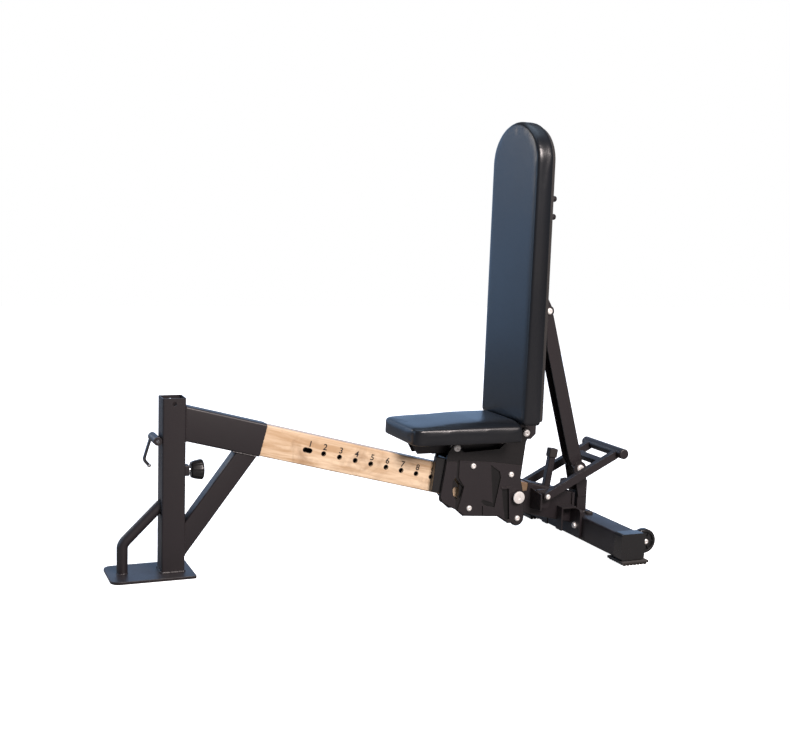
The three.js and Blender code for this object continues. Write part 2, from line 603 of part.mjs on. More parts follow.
function addCarriage() {
  const axles = rollerAxles();
  const lock = onRail(lockPin.along, 0);
  const bores = Object.values(axles).map(([[x, z]]) => rod(5.3, -90, 90).translate(x, 0, z));
  bores.push(rod(6.3, -90, 90).translate(hinge[0], 0, hinge[1]));
  bores.push(rod(6.3, -90, 90).translate(seatBolt[0], 0, seatBolt[1]));
  const lockBore = rod(lockPin.shank + 0.9, -90, 0).translate(lock[0], 0, lock[1]);
  for (const [name, side] of Object.entries(sides)) {
    const band = (low, high) => [side * low, side * high].sort((a, b) => a - b);
    const pieces = [
      sidePlate(carriageOutline(), ...band(plate.inner, plate.outer)),
      sidePlate(raisedOutline(), ...band(plate.outer - 1, plate.raised)),
      sidePlate(frontLip, ...band(plate.outer - 1, plate.raised)),
      block([990, 1022], band(plate.outer - 1, plate.raised + 3), [189, 195]),
    ];
    const tools = [
      ...bores,
      sidePlate(hookOpening, -90, 90),
      sidePlate(sunkenPanel, ...band(plate.outer - 0.5, 90)),
      sidePlate(seam, ...band(plate.outer, 90)),
      sidePlate(bossHollow, ...band(plate.outer - 3, 90)),
    ];
    if (name === 'left') {
      const boss = sleeve(15, lockPin.shank, -lockPin.boss, -plate.outer + 1);
      pieces.push(boss.translate(lock[0], 0, lock[1]));
      tools.push(lockBore);
    } else {
      tools.push(sidePlate(farNotch, 0, 90));
    }
    const liner = block([852, 872], band(40, plate.inner + 0.5), [156, 236]);
    add(`carriage_plate_${name}`, join(cut(join(...pieces), ...tools), liner), 'powderCoat');
  }
  for (const [name, [[x, z], radius]] of Object.entries(axles)) {
    const wide = roller.halfWidth;
    const barrel = turned([
      [5.5, -wide], [radius - 2, -wide], [radius, -wide + 2], [radius, wide - 2], [radius - 2, wide],
      [5.5, wide], [5.5, -wide],
    ], 20);
    add(`roller_${name}`, barrel, 'plastic', [x, 0, z]);
    const outside = plate.raised + gap;
    add(`roller_axle_${name}`, throughBolt(-outside, outside, 5, 8.5, 5), 'zinc', [x, 0, z]);
  }
  const guide = polygon([[390, 64], [421, 64], [435, -40], [405, -40]]);
  const [legIn, legOut] = [28.6, plate.inner - 0.4];
  const saddle = join(
    sidePlate(guide, -legOut, -legIn),
    block([415, 470], [-legOut, -legIn], [52, 64]),
    block([440, 470], [-legIn - 1, legOut], [52, 64]),
    block([440, 470], [legIn, legOut], [-40, 53]));
  add('guide_saddle', saddle, 'plastic', [0, 0, 0], railFrame);

  const outside = plate.outer + gap;
  add('seat_bolt', throughBolt(-outside, outside, 6, 11, 7), 'zinc', [seatBolt[0], 0, seatBolt[1]]);
  add('back_hinge_bolt', throughBolt(-outside, outside, 6, 11, 6), 'zinc', [hinge[0], 0, hinge[1]]);
  const { head, shank } = lockPin;
  const under = -lockPin.boss - gap - lockPin.pull;    // underside of the pin's head
  const pin = turned([
    [0, under - 5.5], [head - 1.5, under - 5.5], [head, under - 4], [head, under - 1.2], [head - 1.2, under],
    [shank, under], [shank, -28], [shank - 2, -26], [0, -26],
  ], 20);
  add('lock_pin', pin, 'zinc', [lock[0], 0, lock[1]]);
}

// Seat cushion on its board and channel
function seatOutline(inset) {
  const [front, rear] = [seat.front + inset, seat.rear - inset];
  const [narrow, wide] = [seat.frontHalf - inset, seat.rearHalf - inset];
  const [big, small] = [34, 12];
  const shape = new THREE.Shape();
  shape.moveTo(front + big, -narrow - 2);
  shape.lineTo(rear - small, -wide);
  shape.quadraticCurveTo(rear, -wide, rear, -wide + small);
  shape.lineTo(rear, wide - small);
  shape.quadraticCurveTo(rear, wide, rear - small, wide);
  shape.lineTo(front + big, narrow + 2);
  shape.quadraticCurveTo(front, narrow, front, narrow - big);
  shape.lineTo(front, -narrow + big);
  shape.quadraticCurveTo(front, -narrow, front + big, -narrow - 2);
  return shape;
}

function addSeat() {
  const channelTop = seat.bottom - gap;
  const outer = new THREE.Shape();
  outer.moveTo(700, channelTop);
  outer.lineTo(724, 302);
  outer.lineTo(1040, 302);
  outer.lineTo(1064, 343.6);
  outer.absarc(hinge[0], hinge[1], 14, -Math.PI * 0.6, Math.PI * 0.8, false);
  outer.lineTo(1040, channelTop);
  outer.closePath();
  const inside = block([0, 1200], [-17.5, 17.5], [200, channelTop - 4]);
  const bores = [seatBolt, hinge].map(([x, z]) => rod(6.3, -90, 90).translate(x, 0, z));
  add('seat_channel', cut(sidePlate(outer, -21.5, 21.5), inside, ...bores), 'powderCoat');
  const board = extrude(seatOutline(6), seat.boardTop - gap - seat.bottom).translate(0, 0, seat.bottom);
  add('seat_board', board, 'board');
  add('seat_pad', extrude(seatOutline(0), seat.top - seat.boardTop).translate(0, 0, seat.boardTop), 'vinyl');
}

// Backrest cushion on its board, and the channel that carries the hinge lugs and the strut's ears
function backrestOutline(inset) {
  const half = backrest.halfWidth - inset;
  const bottom = backrest.bottom + inset;
  const shoulder = 1167;
  const corner = 16;
  const shape = new THREE.Shape();
  shape.moveTo(-half + corner, bottom);
  shape.lineTo(half - corner, bottom);
  shape.quadraticCurveTo(half, bottom, half, bottom + corner);
  shape.lineTo(half, shoulder);
  shape.absellipse(0, shoulder, half, backrest.top - inset - shoulder, 0, Math.PI, false);
  shape.lineTo(-half, bottom + corner);
  shape.quadraticCurveTo(-half, bottom, -half + corner, bottom);
  return shape;
}

function addBackrest() {
  const cushion = alongX(extrude(backrestOutline(0), backrest.boardFront - gap - backrest.front, 10));
  add('backrest_pad', cushion.translate(backrest.front, 0, 0), 'vinyl');
  const board = alongX(extrude(backrestOutline(7), backrest.rear - backrest.boardFront, 10));
  add('backrest_board', board.translate(backrest.boardFront, 0, 0), 'board');

  const web = backrest.rear + gap;
  const flange = new THREE.Shape();
  flange.moveTo(web, 374);
  flange.lineTo(web + 32, 382);
  flange.lineTo(web + 40, 660);
  flange.lineTo(strutTop[0] + 6, strutTop[1] - 15);
  flange.absarc(strutTop[0], strutTop[1], 17, -Math.PI * 0.35, Math.PI * 0.35, false);
  flange.lineTo(web + 40, 800);
  flange.lineTo(web + 34, 1180);
  flange.lineTo(web, 1200);
  flange.closePath();
  const channel = cut(sidePlate(flange, -27, 27), block([web + 4.7, 1400], [-22.3, 22.3], [0, 1500]));
  const lug = polygon([[1052, 395.5], [1052, 350], [1062, 337], [1090, 337], [1106, 352], [1106, 395.5]]);
  const pieces = [channel];
  const tools = [rod(6.4, -90, 90).translate(hinge[0], 0, hinge[1])];
  tools.push(rod(5.3, -90, 90).translate(strutTop[0], 0, strutTop[1]));
  for (const side of Object.values(sides)) {
    const [from, to] = [side * 24, side * 47.4].sort((a, b) => a - b);
    pieces.push(sidePlate(lug, from, to));
  }
  for (const z of pegHeights) {
    const peg = turned([[0, 0], [6, 0], [6, 68], [9, 68], [9, 79], [7, 82], [0, 82]], 16);
    pieces.push(peg.rotateZ(-Math.PI / 2).translate(web + 2, 0, z));
  }
  add('back_channel', cut(join(...pieces), ...tools), 'powderCoat');
  for (const [name, side] of Object.entries(sides)) {
    const stub = turned([[0, 22.6], [5, 22.6], [5, 27.4], [10, 27.4], [10, 31], [7, 34], [0, 34]], 18);
    if (side < 0) stub.rotateX(Math.PI);
    add(`strut_top_bolt_${name}`, stub, 'zinc', [strutTop[0], 0, strutTop[1]]);
  }
}

addBasePlate();
addPost();
addLiftBar();
addKnob();
addLatch();
addRail();
addRearHub();
addCrossbeam();
addUpright();
addStopPost();
addHandle();
addStrut();
addCarriage();
addSeat();
addBackrest();

export default bench;
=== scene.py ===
# Adjustable weight bench: finishes, cushions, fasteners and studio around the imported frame.
import json
import math

import bmesh
import bpy
from mathutils import Matrix, Vector, noise


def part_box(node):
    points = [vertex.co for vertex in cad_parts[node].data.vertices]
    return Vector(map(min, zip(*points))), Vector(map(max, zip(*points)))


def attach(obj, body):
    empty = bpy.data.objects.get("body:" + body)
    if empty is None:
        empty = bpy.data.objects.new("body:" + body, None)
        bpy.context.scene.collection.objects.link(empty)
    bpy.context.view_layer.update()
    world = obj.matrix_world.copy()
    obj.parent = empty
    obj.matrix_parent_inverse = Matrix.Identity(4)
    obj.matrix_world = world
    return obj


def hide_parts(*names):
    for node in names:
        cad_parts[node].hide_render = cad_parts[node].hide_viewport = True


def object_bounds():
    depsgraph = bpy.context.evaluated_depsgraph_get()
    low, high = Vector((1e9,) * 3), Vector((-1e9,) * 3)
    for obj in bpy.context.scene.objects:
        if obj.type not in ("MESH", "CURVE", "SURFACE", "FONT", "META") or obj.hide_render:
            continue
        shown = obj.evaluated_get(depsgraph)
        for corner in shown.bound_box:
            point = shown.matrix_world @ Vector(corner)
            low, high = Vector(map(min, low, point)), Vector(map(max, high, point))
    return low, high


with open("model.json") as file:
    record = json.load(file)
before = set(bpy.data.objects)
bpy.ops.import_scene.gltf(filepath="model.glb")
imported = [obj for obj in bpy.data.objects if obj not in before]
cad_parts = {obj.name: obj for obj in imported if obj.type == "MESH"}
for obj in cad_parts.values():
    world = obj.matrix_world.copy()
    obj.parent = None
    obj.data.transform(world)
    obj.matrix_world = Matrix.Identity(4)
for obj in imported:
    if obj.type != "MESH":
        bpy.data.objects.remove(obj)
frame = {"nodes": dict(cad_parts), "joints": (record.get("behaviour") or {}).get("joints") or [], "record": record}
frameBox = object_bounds()
scene = bpy.context.scene
bodies = frame["record"]["behaviour"]["bodies"]
bodyByNode = {node: body for body, members in bodies.items() for node in members}
slotByNode = {row["node"]: row["material_slot"] for row in frame["record"]["subparts"]}
sideSigns = {"left": -1, "right": 1}    # the sitter's left is -Y
rollerNames = ("top_front", "top_rear", "bottom_front", "bottom_rear")
print("frame loaded:", len(frame["nodes"]), "nodes")


# places taken from the frame
def corners(node):
    return tuple(Vector(corner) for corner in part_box(node))


def middle(node):
    low, high = corners(node)
    return (low + high) / 2


def turnedSize(node):    # radius and half length in millimetres
    low, high = corners(node)
    return (high.z - low.z) / 2 / millimetre, (high.y - low.y) / 2 / millimetre


slideAxis = next(joint for joint in frame["joints"] if joint["name"] == "carriage_slide")["axis"]
railRun = Vector((-slideAxis[0], 0, -slideAxis[2])).normalized()    # along the rail, towards the wheels
railRise = Vector((-railRun.z, 0, railRun.x))                       # square to the rail, upwards
alongX = Vector((1, 0, 0))
acrossY = Vector((0, 1, 0))
upZ = Vector((0, 0, 1))
millimetre = 0.001


# shader helpers
def addNode(tree, kind, sockets=None, **settings):
    node = tree.nodes.new(kind)
    for name, value in settings.items():
        setattr(node, name, value)
    for name, value in (sockets or {}).items():
        if isinstance(value, bpy.types.NodeSocket):
            tree.links.new(value, node.inputs[name])
        else:
            node.inputs[name].default_value = value
    return node


def objectPlace(tree):
    return addNode(tree, "ShaderNodeTexCoord").outputs["Object"]


def clouds(tree, place, scale, detail, roughness=0.5, distortion=0.0):
    node = addNode(tree, "ShaderNodeTexNoise", {"Vector": place, "Scale": scale, "Detail": detail,
                                                "Roughness": roughness, "Distortion": distortion})
    return node.outputs[0]


def ramp(tree, value, fromMin=0.0, fromMax=1.0, toMin=0.0, toMax=1.0):
    node = addNode(tree, "ShaderNodeMapRange", {"Value": value, "From Min": fromMin, "From Max": fromMax,
                                                "To Min": toMin, "To Max": toMax})
    return node.outputs[0]


def combine(tree, operation, first, second):
    return addNode(tree, "ShaderNodeMath", {0: first, 1: second}, operation=operation).outputs[0]


def newGroup(name, inputs, outputs):
    tree = bpy.data.node_groups.new(name, "ShaderNodeTree")
    for label, start in inputs.items():
        socket = tree.interface.new_socket(name=label, in_out="INPUT", socket_type="NodeSocketFloat")
        socket.default_value = start
    for label in outputs:
        tree.interface.new_socket(name=label, in_out="OUTPUT", socket_type="NodeSocketFloat")
    return tree, tree.nodes.new("NodeGroupInput"), tree.nodes.new("NodeGroupOutput")


def makeEdgeWear():
    tree, start, end = newGroup("edgeWear", {"Radius": 0.0015, "Break Up": 120.0}, ["Mask"])
    rounded = addNode(tree, "ShaderNodeBevel", {"Radius": start.outputs["Radius"]}, samples=4)
    facing = addNode(tree, "ShaderNodeNewGeometry")
    dot = addNode(tree, "ShaderNodeVectorMath", {0: rounded.outputs[0], 1: facing.outputs["Normal"]},
                  operation="DOT_PRODUCT")
    edge = ramp(tree, dot.outputs["Value"], 0.985, 0.86)
    chips = ramp(tree, clouds(tree, objectPlace(tree), start.outputs["Break Up"], 4.0), 0.42, 0.66)
    tree.links.new(combine(tree, "MULTIPLY", edge, chips), end.inputs["Mask"])
    return tree


def makeGrain():
    tree, start, end = newGroup("surfaceGrain", {"Fine": 1400.0, "Coarse": 9.0}, ["Height", "Mottle"])
    place = objectPlace(tree)
    fine = clouds(tree, place, start.outputs["Fine"], 2.0, 0.6)
    coarse = clouds(tree, place, start.outputs["Coarse"], 5.0)
    tree.links.new(fine, end.inputs["Height"])
    tree.links.new(ramp(tree, coarse, 0.3, 0.7), end.inputs["Mottle"])
    return tree


def makeDust():
    tree, start, end = newGroup("settledDust", {"Amount": 0.3}, ["Mask"])
    facing = addNode(tree, "ShaderNodeNewGeometry")
    parts = addNode(tree, "ShaderNodeSeparateXYZ", {0: facing.outputs["Normal"]})
    upward = ramp(tree, parts.outputs["Z"], 0.6, 1.0)
    patchy = combine(tree, "MULTIPLY", upward, clouds(tree, objectPlace(tree), 24.0, 6.0))
    tree.links.new(combine(tree, "MULTIPLY", patchy, start.outputs["Amount"]), end.inputs["Mask"])
    return tree


def makeScuffs():
    tree, start, end = newGroup("scuffs", {"Scale": 30.0, "Amount": 0.5}, ["Mask"])
    stretch = addNode(tree, "ShaderNodeMapping", {"Vector": objectPlace(tree), "Scale": (1.0, 3.0, 6.0)})
    lines = clouds(tree, stretch.outputs[0], start.outputs["Scale"], 8.0, 0.7, 0.6)
    thin = ramp(tree, lines, 0.62, 0.74)
    tree.links.new(combine(tree, "MULTIPLY", thin, start.outputs["Amount"]), end.inputs["Mask"])
    return tree


groups = {"edgeWear": makeEdgeWear(), "grain": makeGrain(), "dust": makeDust(), "scuffs": makeScuffs()}


def placeGroup(tree, name, sockets):
    node = tree.nodes.new("ShaderNodeGroup")
    node.node_tree = groups[name]
    for label, value in sockets.items():
        node.inputs[label].default_value = value
    return node


def newMaterial(name, constants):
    material = bpy.data.materials.new(name)
    material.use_nodes = True
    tree = material.node_tree
    shader = tree.nodes["Principled BSDF"]
    for label, value in constants.items():
        shader.inputs[label].default_value = value
    return material, tree, shader


def mixColor(tree, factor, first, second):
    node = tree.nodes.new("ShaderNodeMix")
    node.data_type = "RGBA"
    for index, value in ((0, factor), (6, first), (7, second)):    # the factor and the two colour sockets
        if isinstance(value, bpy.types.NodeSocket):
            tree.links.new(value, node.inputs[index])
        elif index == 0:
            node.inputs[index].default_value = value
        else:
            node.inputs[index].default_value = (*value, 1.0)
    return node.outputs[2]


def bumpFrom(tree, shader, height, strength, distance):
    bump = addNode(tree, "ShaderNodeBump", {"Strength": strength, "Distance": distance, "Height": height})
    tree.links.new(bump.outputs[0], shader.inputs["Normal"])


# finishes
def makeCoated(name, look):
    material, tree, shader = newMaterial(name, {"Metallic": 0.0, "IOR": 1.5, "Coat Weight": look["coat"],
                                                "Coat Roughness": 0.25})
    grain = placeGroup(tree, "grain", {"Fine": look["grainScale"], "Coarse": 7.0})
    wear = placeGroup(tree, "edgeWear", {"Radius": look["edge"], "Break Up": 160.0})
    dust = placeGroup(tree, "dust", {"Amount": look["dust"]})
    scuffs = placeGroup(tree, "scuffs", {"Scale": 26.0, "Amount": look["scuff"]})
    color = mixColor(tree, grain.outputs["Mottle"], look["color"], look["shade"])
    color = mixColor(tree, wear.outputs["Mask"], color, look["edgeColor"])
    color = mixColor(tree, dust.outputs["Mask"], color, dustColor)
    if "paintedShadeDepths" in look:    # painted shade: the pressed areas, sunk behind the faces that stand proud, are coloured darker for the shade that falls in them
        parts = addNode(tree, "ShaderNodeSeparateXYZ", {0: objectPlace(tree)})
        outward = combine(tree, "ABSOLUTE", parts.outputs["Y"], 0.0)
        color = mixColor(tree, ramp(tree, outward, *look["paintedShadeDepths"]), look["paintedShadeColor"], color)
    tree.links.new(color, shader.inputs["Base Color"])
    rough = ramp(tree, grain.outputs["Mottle"], 0.0, 1.0, *look["roughness"])
    tree.links.new(combine(tree, "ADD", rough, scuffs.outputs["Mask"]), shader.inputs["Roughness"])
    bumpFrom(tree, shader, grain.outputs["Height"], look["bump"], 0.0006)
    return material


dustColor = (0.30, 0.30, 0.31)
powderLook = {"color": (0.0165, 0.0130, 0.0150), "shade": (0.0120, 0.0095, 0.0110),
              "edgeColor": (0.055, 0.050, 0.048), "coat": 0.0, "grainScale": 900.0, "edge": 0.0022,
              "dust": 0.05, "scuff": 0.10, "roughness": (0.38, 0.48), "bump": 0.20}
# pressed plates: painted shade darkens the faces sunk between the given depths
pressedLook = {**powderLook, "paintedShadeDepths": (0.0536, 0.0556), "paintedShadeColor": (0.0022, 0.0020, 0.0022)}
plasticLook = {"color": (0.0085, 0.0085, 0.0090), "shade": (0.0060, 0.0060, 0.0065),
               "edgeColor": (0.030, 0.030, 0.030), "coat": 0.2, "grainScale": 1600.0, "edge": 0.0010,
               "dust": 0.05, "scuff": 0.10, "roughness": (0.24, 0.36), "bump": 0.10}
rubberLook = {"color": (0.022, 0.018, 0.016), "shade": (0.014, 0.012, 0.011),
              "edgeColor": (0.070, 0.055, 0.045), "coat": 0.0, "grainScale": 700.0, "edge": 0.0012,
              "dust": 0.18, "scuff": 0.08, "roughness": (0.62, 0.78), "bump": 0.45}


def makeMetal(name, look):
    material, tree, shader = newMaterial(name, {"Metallic": look["metallic"]})
    grain = placeGroup(tree, "grain", {"Fine": look["grainScale"], "Coarse": 60.0})
    wear = placeGroup(tree, "edgeWear", {"Radius": 0.0008, "Break Up": 300.0})
    color = mixColor(tree, grain.outputs["Mottle"], look["color"], look["shade"])
    color = mixColor(tree, wear.outputs["Mask"], color, (0.95, 0.95, 0.94))
    tree.links.new(color, shader.inputs["Base Color"])
    rough = ramp(tree, grain.outputs["Mottle"], 0.0, 1.0, *look["roughness"])
    tree.links.new(rough, shader.inputs["Roughness"])
    bumpFrom(tree, shader, grain.outputs["Height"], look["bump"], 0.0002)
    return material


zincLook = {"color": (0.90, 0.88, 0.85), "shade": (0.78, 0.77, 0.75), "grainScale": 1500.0,
            "roughness": (0.46, 0.58), "bump": 0.15, "metallic": 0.55}
chromeLook = {"color": (0.90, 0.91, 0.92), "shade": (0.82, 0.84, 0.86), "grainScale": 900.0,
              "roughness": (0.12, 0.20), "bump": 0.04, "metallic": 0.9}
steelLook = {"color": (0.22, 0.22, 0.23), "shade": (0.10, 0.10, 0.11), "grainScale": 900.0,
             "roughness": (0.24, 0.36), "bump": 0.08, "metallic": 0.9}


def makeRailLacquer():
    look = {"pale": (0.80, 0.63, 0.44), "tan": (0.52, 0.34, 0.19), "brown": (0.26, 0.14, 0.065),
            "smudge": (0.17, 0.12, 0.09), "shadedTail": (0.085, 0.045, 0.020), "edge": (0.22, 0.15, 0.10),
            "rimBand": (0.026, 0.045), "shadedTailBand": (0.012, 0.024)}
    material, tree, shader = newMaterial("railLacquer", {"Metallic": 0.0, "Coat Weight": 0.35,
                                                         "Coat Roughness": 0.2})
    slope = math.atan2(railRun.z, railRun.x)
    level = addNode(tree, "ShaderNodeMapping", {"Vector": objectPlace(tree), "Rotation": (0.0, slope, 0.0)})
    streak = addNode(tree, "ShaderNodeMapping", {"Vector": level.outputs[0], "Scale": (5.0, 18.0, 42.0)})
    smears = addNode(tree, "ShaderNodeMapping", {"Vector": level.outputs[0], "Scale": (14.0, 30.0, 30.0),
                                                 "Location": (3.1, 0.0, 1.7)})
    bands = clouds(tree, streak.outputs[0], 1.0, 7.0, 0.62, 0.5)
    blots = clouds(tree, level.outputs[0], 11.0, 6.0, 0.6, 0.9)
    stain = clouds(tree, smears.outputs[0], 1.0, 3.0)
    color = mixColor(tree, ramp(tree, bands, 0.40, 0.62), look["pale"], look["tan"])
    color = mixColor(tree, ramp(tree, blots, 0.50, 0.74, 0.0, 0.70), color, look["brown"])
    color = mixColor(tree, ramp(tree, stain, 0.66, 0.76, 0.0, 0.40), color, look["smudge"])

    parts = addNode(tree, "ShaderNodeSeparateXYZ", {0: level.outputs[0]})
    centre = middle("slide_rail")
    pin = middle("lock_pin")
    levelCentre = centre.z * math.cos(slope) - centre.x * math.sin(slope)
    levelPin = pin.x * math.cos(slope) + pin.z * math.sin(slope)
    rim = ramp(tree, parts.outputs["Z"], *(levelCentre + edge for edge in look["rimBand"]), 0.0, 0.5)
    # painted shade: a mask along the rail that starts just past the lock pin
    shadedTail = ramp(tree, parts.outputs["X"], *(levelPin + edge for edge in look["shadedTailBand"]), 0.0, 0.85)
    color = mixColor(tree, rim, color, look["tan"])
    color = mixColor(tree, shadedTail, color, look["shadedTail"])    # painted shade: dark brown past the lock pin, where the rail lies in shade
    wear = placeGroup(tree, "edgeWear", {"Radius": 0.0022, "Break Up": 60.0})
    color = mixColor(tree, wear.outputs["Mask"], color, look["edge"])
    tree.links.new(color, shader.inputs["Base Color"])
    tree.links.new(ramp(tree, blots, 0.0, 1.0, 0.32, 0.55), shader.inputs["Roughness"])
    bumpFrom(tree, shader, bands, 0.08, 0.0006)
    return material


def makeVinyl():
    look = {"color": (0.0070, 0.0085, 0.0115), "shade": (0.0045, 0.0055, 0.0075), "pebbles": 900.0,
            "roughness": (0.27, 0.34)}
    material, tree, shader = newMaterial("vinyl", {"Metallic": 0.0, "Coat Weight": 0.0})
    cells = addNode(tree, "ShaderNodeTexVoronoi", {"Vector": objectPlace(tree), "Scale": look["pebbles"],
                                                   "Smoothness": 0.6}, feature="SMOOTH_F1")
    grain = placeGroup(tree, "grain", {"Fine": 420.0, "Coarse": 5.0})
    wear = placeGroup(tree, "scuffs", {"Scale": 12.0, "Amount": 0.10})
    color = mixColor(tree, grain.outputs["Mottle"], look["color"], look["shade"])
    tree.links.new(color, shader.inputs["Base Color"])
    rough = ramp(tree, grain.outputs["Mottle"], 0.0, 1.0, *look["roughness"])
    tree.links.new(combine(tree, "ADD", rough, wear.outputs["Mask"]), shader.inputs["Roughness"])
    relief = combine(tree, "ADD", cells.outputs["Distance"], grain.outputs["Height"])
    bumpFrom(tree, shader, relief, 0.14, 0.0004)
    return material


def makeBacking():
    look = {"color": (0.030, 0.027, 0.026), "shade": (0.016, 0.015, 0.015)}
    material, tree, shader = newMaterial("boardBacking", {"Roughness": 0.9, "Sheen Weight": 0.2})
    weave = addNode(tree, "ShaderNodeTexChecker", {"Vector": objectPlace(tree), "Scale": 900.0})
    grain = placeGroup(tree, "grain", {"Fine": 600.0, "Coarse": 14.0})
    color = mixColor(tree, grain.outputs["Mottle"], look["color"], look["shade"])
    color = mixColor(tree, weave.outputs["Fac"], color, look["shade"])
    tree.links.new(color, shader.inputs["Base Color"])
    bumpFrom(tree, shader, grain.outputs["Height"], 0.4, 0.0005)
    return material


def makeInk():
    look = {"color": (0.006, 0.005, 0.005), "shade": (0.018, 0.014, 0.012), "roughness": (0.45, 0.70)}
    material, tree, shader = newMaterial("numberInk", {"Metallic": 0.0})
    grain = placeGroup(tree, "grain", {"Fine": 2500.0, "Coarse": 260.0})
    color = mixColor(tree, grain.outputs["Mottle"], look["color"], look["shade"])
    tree.links.new(color, shader.inputs["Base Color"])
    rough = ramp(tree, grain.outputs["Mottle"], 0.0, 1.0, *look["roughness"])
    tree.links.new(rough, shader.inputs["Roughness"])
    return material


finishes = {
    "frame_black": makeCoated("powderCoat", powderLook),
    "pressed_black": makeCoated("pressedPlate", pressedLook),
    "black_plastic": makeCoated("mouldedPlastic", plasticLook),
    "rubber": makeCoated("ribbedRubber", rubberLook),
    "zinc": makeMetal("brightZinc", zincLook),
    "chrome": makeMetal("polishedChrome", chromeLook),
    "darkSteel": makeMetal("oiledSteel", steelLook),
    "rail_lacquer": makeRailLacquer(),
    "vinyl": makeVinyl(),
    "board": makeBacking(),
    "ink": makeInk(),
}
for nodeName, cadObject in frame["nodes"].items():
    cadObject.data.materials.clear()
    cadObject.data.materials.append(finishes[slotByNode[nodeName]])
print("finishes made:", len(finishes))


# mesh helpers
def toObject(name, bm, finishName, sharpAngle=35.0):
    mesh = bpy.data.meshes.new(name)
    for face in bm.faces:
        face.smooth = True
    limit = math.radians(sharpAngle)
    for edge in bm.edges:
        edge.smooth = edge.calc_face_angle(0.0) < limit
    bm.to_mesh(mesh)
    bm.free()
    piece = bpy.data.objects.new(name, mesh)
    scene.collection.objects.link(piece)
    mesh.materials.append(finishes[finishName])
    return piece


def fit(piece, body, slotName, *nodes):
    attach(piece, body)
    if nodes:
        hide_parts(*nodes)


def fitOver(piece, node):
    fit(piece, bodyByNode[node], slotByNode[node], node)


def spinProfile(profile, steps, place, axis=acrossY):    # a profile of (radius, height) in millimetres
    bm = bmesh.new()
    verts = [bm.verts.new((radius * millimetre, height * millimetre, 0)) for radius, height in profile]
    edges = [bm.edges.new(pair) for pair in zip(verts, verts[1:])]
    bmesh.ops.spin(bm, geom=verts + edges, cent=(0, 0, 0), axis=(0, 1, 0), angle=math.tau, steps=steps,
                   use_merge=True)
    bmesh.ops.remove_doubles(bm, verts=bm.verts, dist=1e-6)
    turn = acrossY.rotation_difference(axis).to_matrix().to_4x4()
    bmesh.ops.transform(bm, matrix=Matrix.Translation(place) @ turn, verts=bm.verts)
    bmesh.ops.recalc_face_normals(bm, faces=bm.faces)
    return bm


def merged(parts):
    whole = bmesh.new()
    for part in parts:
        mesh = bpy.data.meshes.new("part")
        part.to_mesh(mesh)
        part.free()
        whole.from_mesh(mesh)
        bpy.data.meshes.remove(mesh)
    return whole


def thicken(bm, shift):
    grown = bmesh.ops.extrude_face_region(bm, geom=bm.faces[:])
    raised = [item for item in grown["geom"] if isinstance(item, bmesh.types.BMVert)]
    bmesh.ops.translate(bm, verts=raised, vec=shift)
    bmesh.ops.recalc_face_normals(bm, faces=bm.faces)
    return bm


def evaluatedMesh(piece):
    bpy.context.view_layer.update()
    return bpy.data.meshes.new_from_object(piece.evaluated_get(bpy.context.evaluated_depsgraph_get()))


def shapeOf(curve):
    holder = bpy.data.objects.new("holder", curve)
    scene.collection.objects.link(holder)
    mesh = evaluatedMesh(holder)
    bm = bmesh.new()
    bm.from_mesh(mesh)
    bmesh.ops.remove_doubles(bm, verts=bm.verts, dist=1e-6)
    bpy.data.objects.remove(holder)
    bpy.data.curves.remove(curve)
    bpy.data.meshes.remove(mesh)
    return bm


def sweep(points, radius, sides, resolution, closed=False, radii=None):
    curve = bpy.data.curves.new("sweep", "CURVE")
    curve.dimensions = "3D"
    curve.bevel_depth = radius
    curve.bevel_resolution = sides
    curve.use_fill_caps = True
    spline = curve.splines.new("NURBS")
    spline.points.add(len(points) - 1)
    for index, point in enumerate(points):
        spline.points[index].co = (*point, 1.0)
        if radii:
            spline.points[index].radius = radii[index]
    spline.order_u = 3
    spline.use_endpoint_u = True
    spline.use_cyclic_u = closed
    spline.resolution_u = resolution
    bm = shapeOf(curve)
    bmesh.ops.recalc_face_normals(bm, faces=bm.faces)
    return bm


def boxBetween(low, high):
    bm = bmesh.new()
    size = Vector(high) - Vector(low)
    bmesh.ops.create_cube(bm, size=1.0, matrix=Matrix.Translation((Vector(low) + Vector(high)) / 2)
                          @ Matrix.Diagonal((*size, 1.0)))
    return bm


def roundEdges(bm, width, segments, sharperThan=30.0):
    limit = math.radians(sharperThan)
    sharp = [edge for edge in bm.edges if edge.calc_face_angle(0.0) > limit]
    bmesh.ops.bevel(bm, geom=sharp, offset=width, offset_type="OFFSET", segments=segments, profile=0.5,
                    affect="EDGES", clamp_overlap=True, material=-1)
    return bm


# fabricated steel: each CAD solid's shape with its edges broken
def fabricate(node, edgeWidth, finishName):
    sharpAngle = 38.0
    bm = bmesh.new()
    bm.from_mesh(frame["nodes"][node].data)
    bmesh.ops.remove_doubles(bm, verts=bm.verts, dist=2e-6)
    bmesh.ops.dissolve_limit(bm, angle_limit=math.radians(1.0), use_dissolve_boundaries=False,
                             verts=bm.verts, edges=bm.edges, delimit={"NORMAL"})
    piece = toObject(node + "_body", bm, finishName, sharpAngle)
    bevel = piece.modifiers.new("brokenEdges", "BEVEL")
    bevel.width = edgeWidth
    bevel.segments = 2
    bevel.limit_method = "ANGLE"
    bevel.angle_limit = math.radians(sharpAngle)
    bevel.harden_normals = True
    bevel.use_clamp_overlap = True
    fitOver(piece, node)


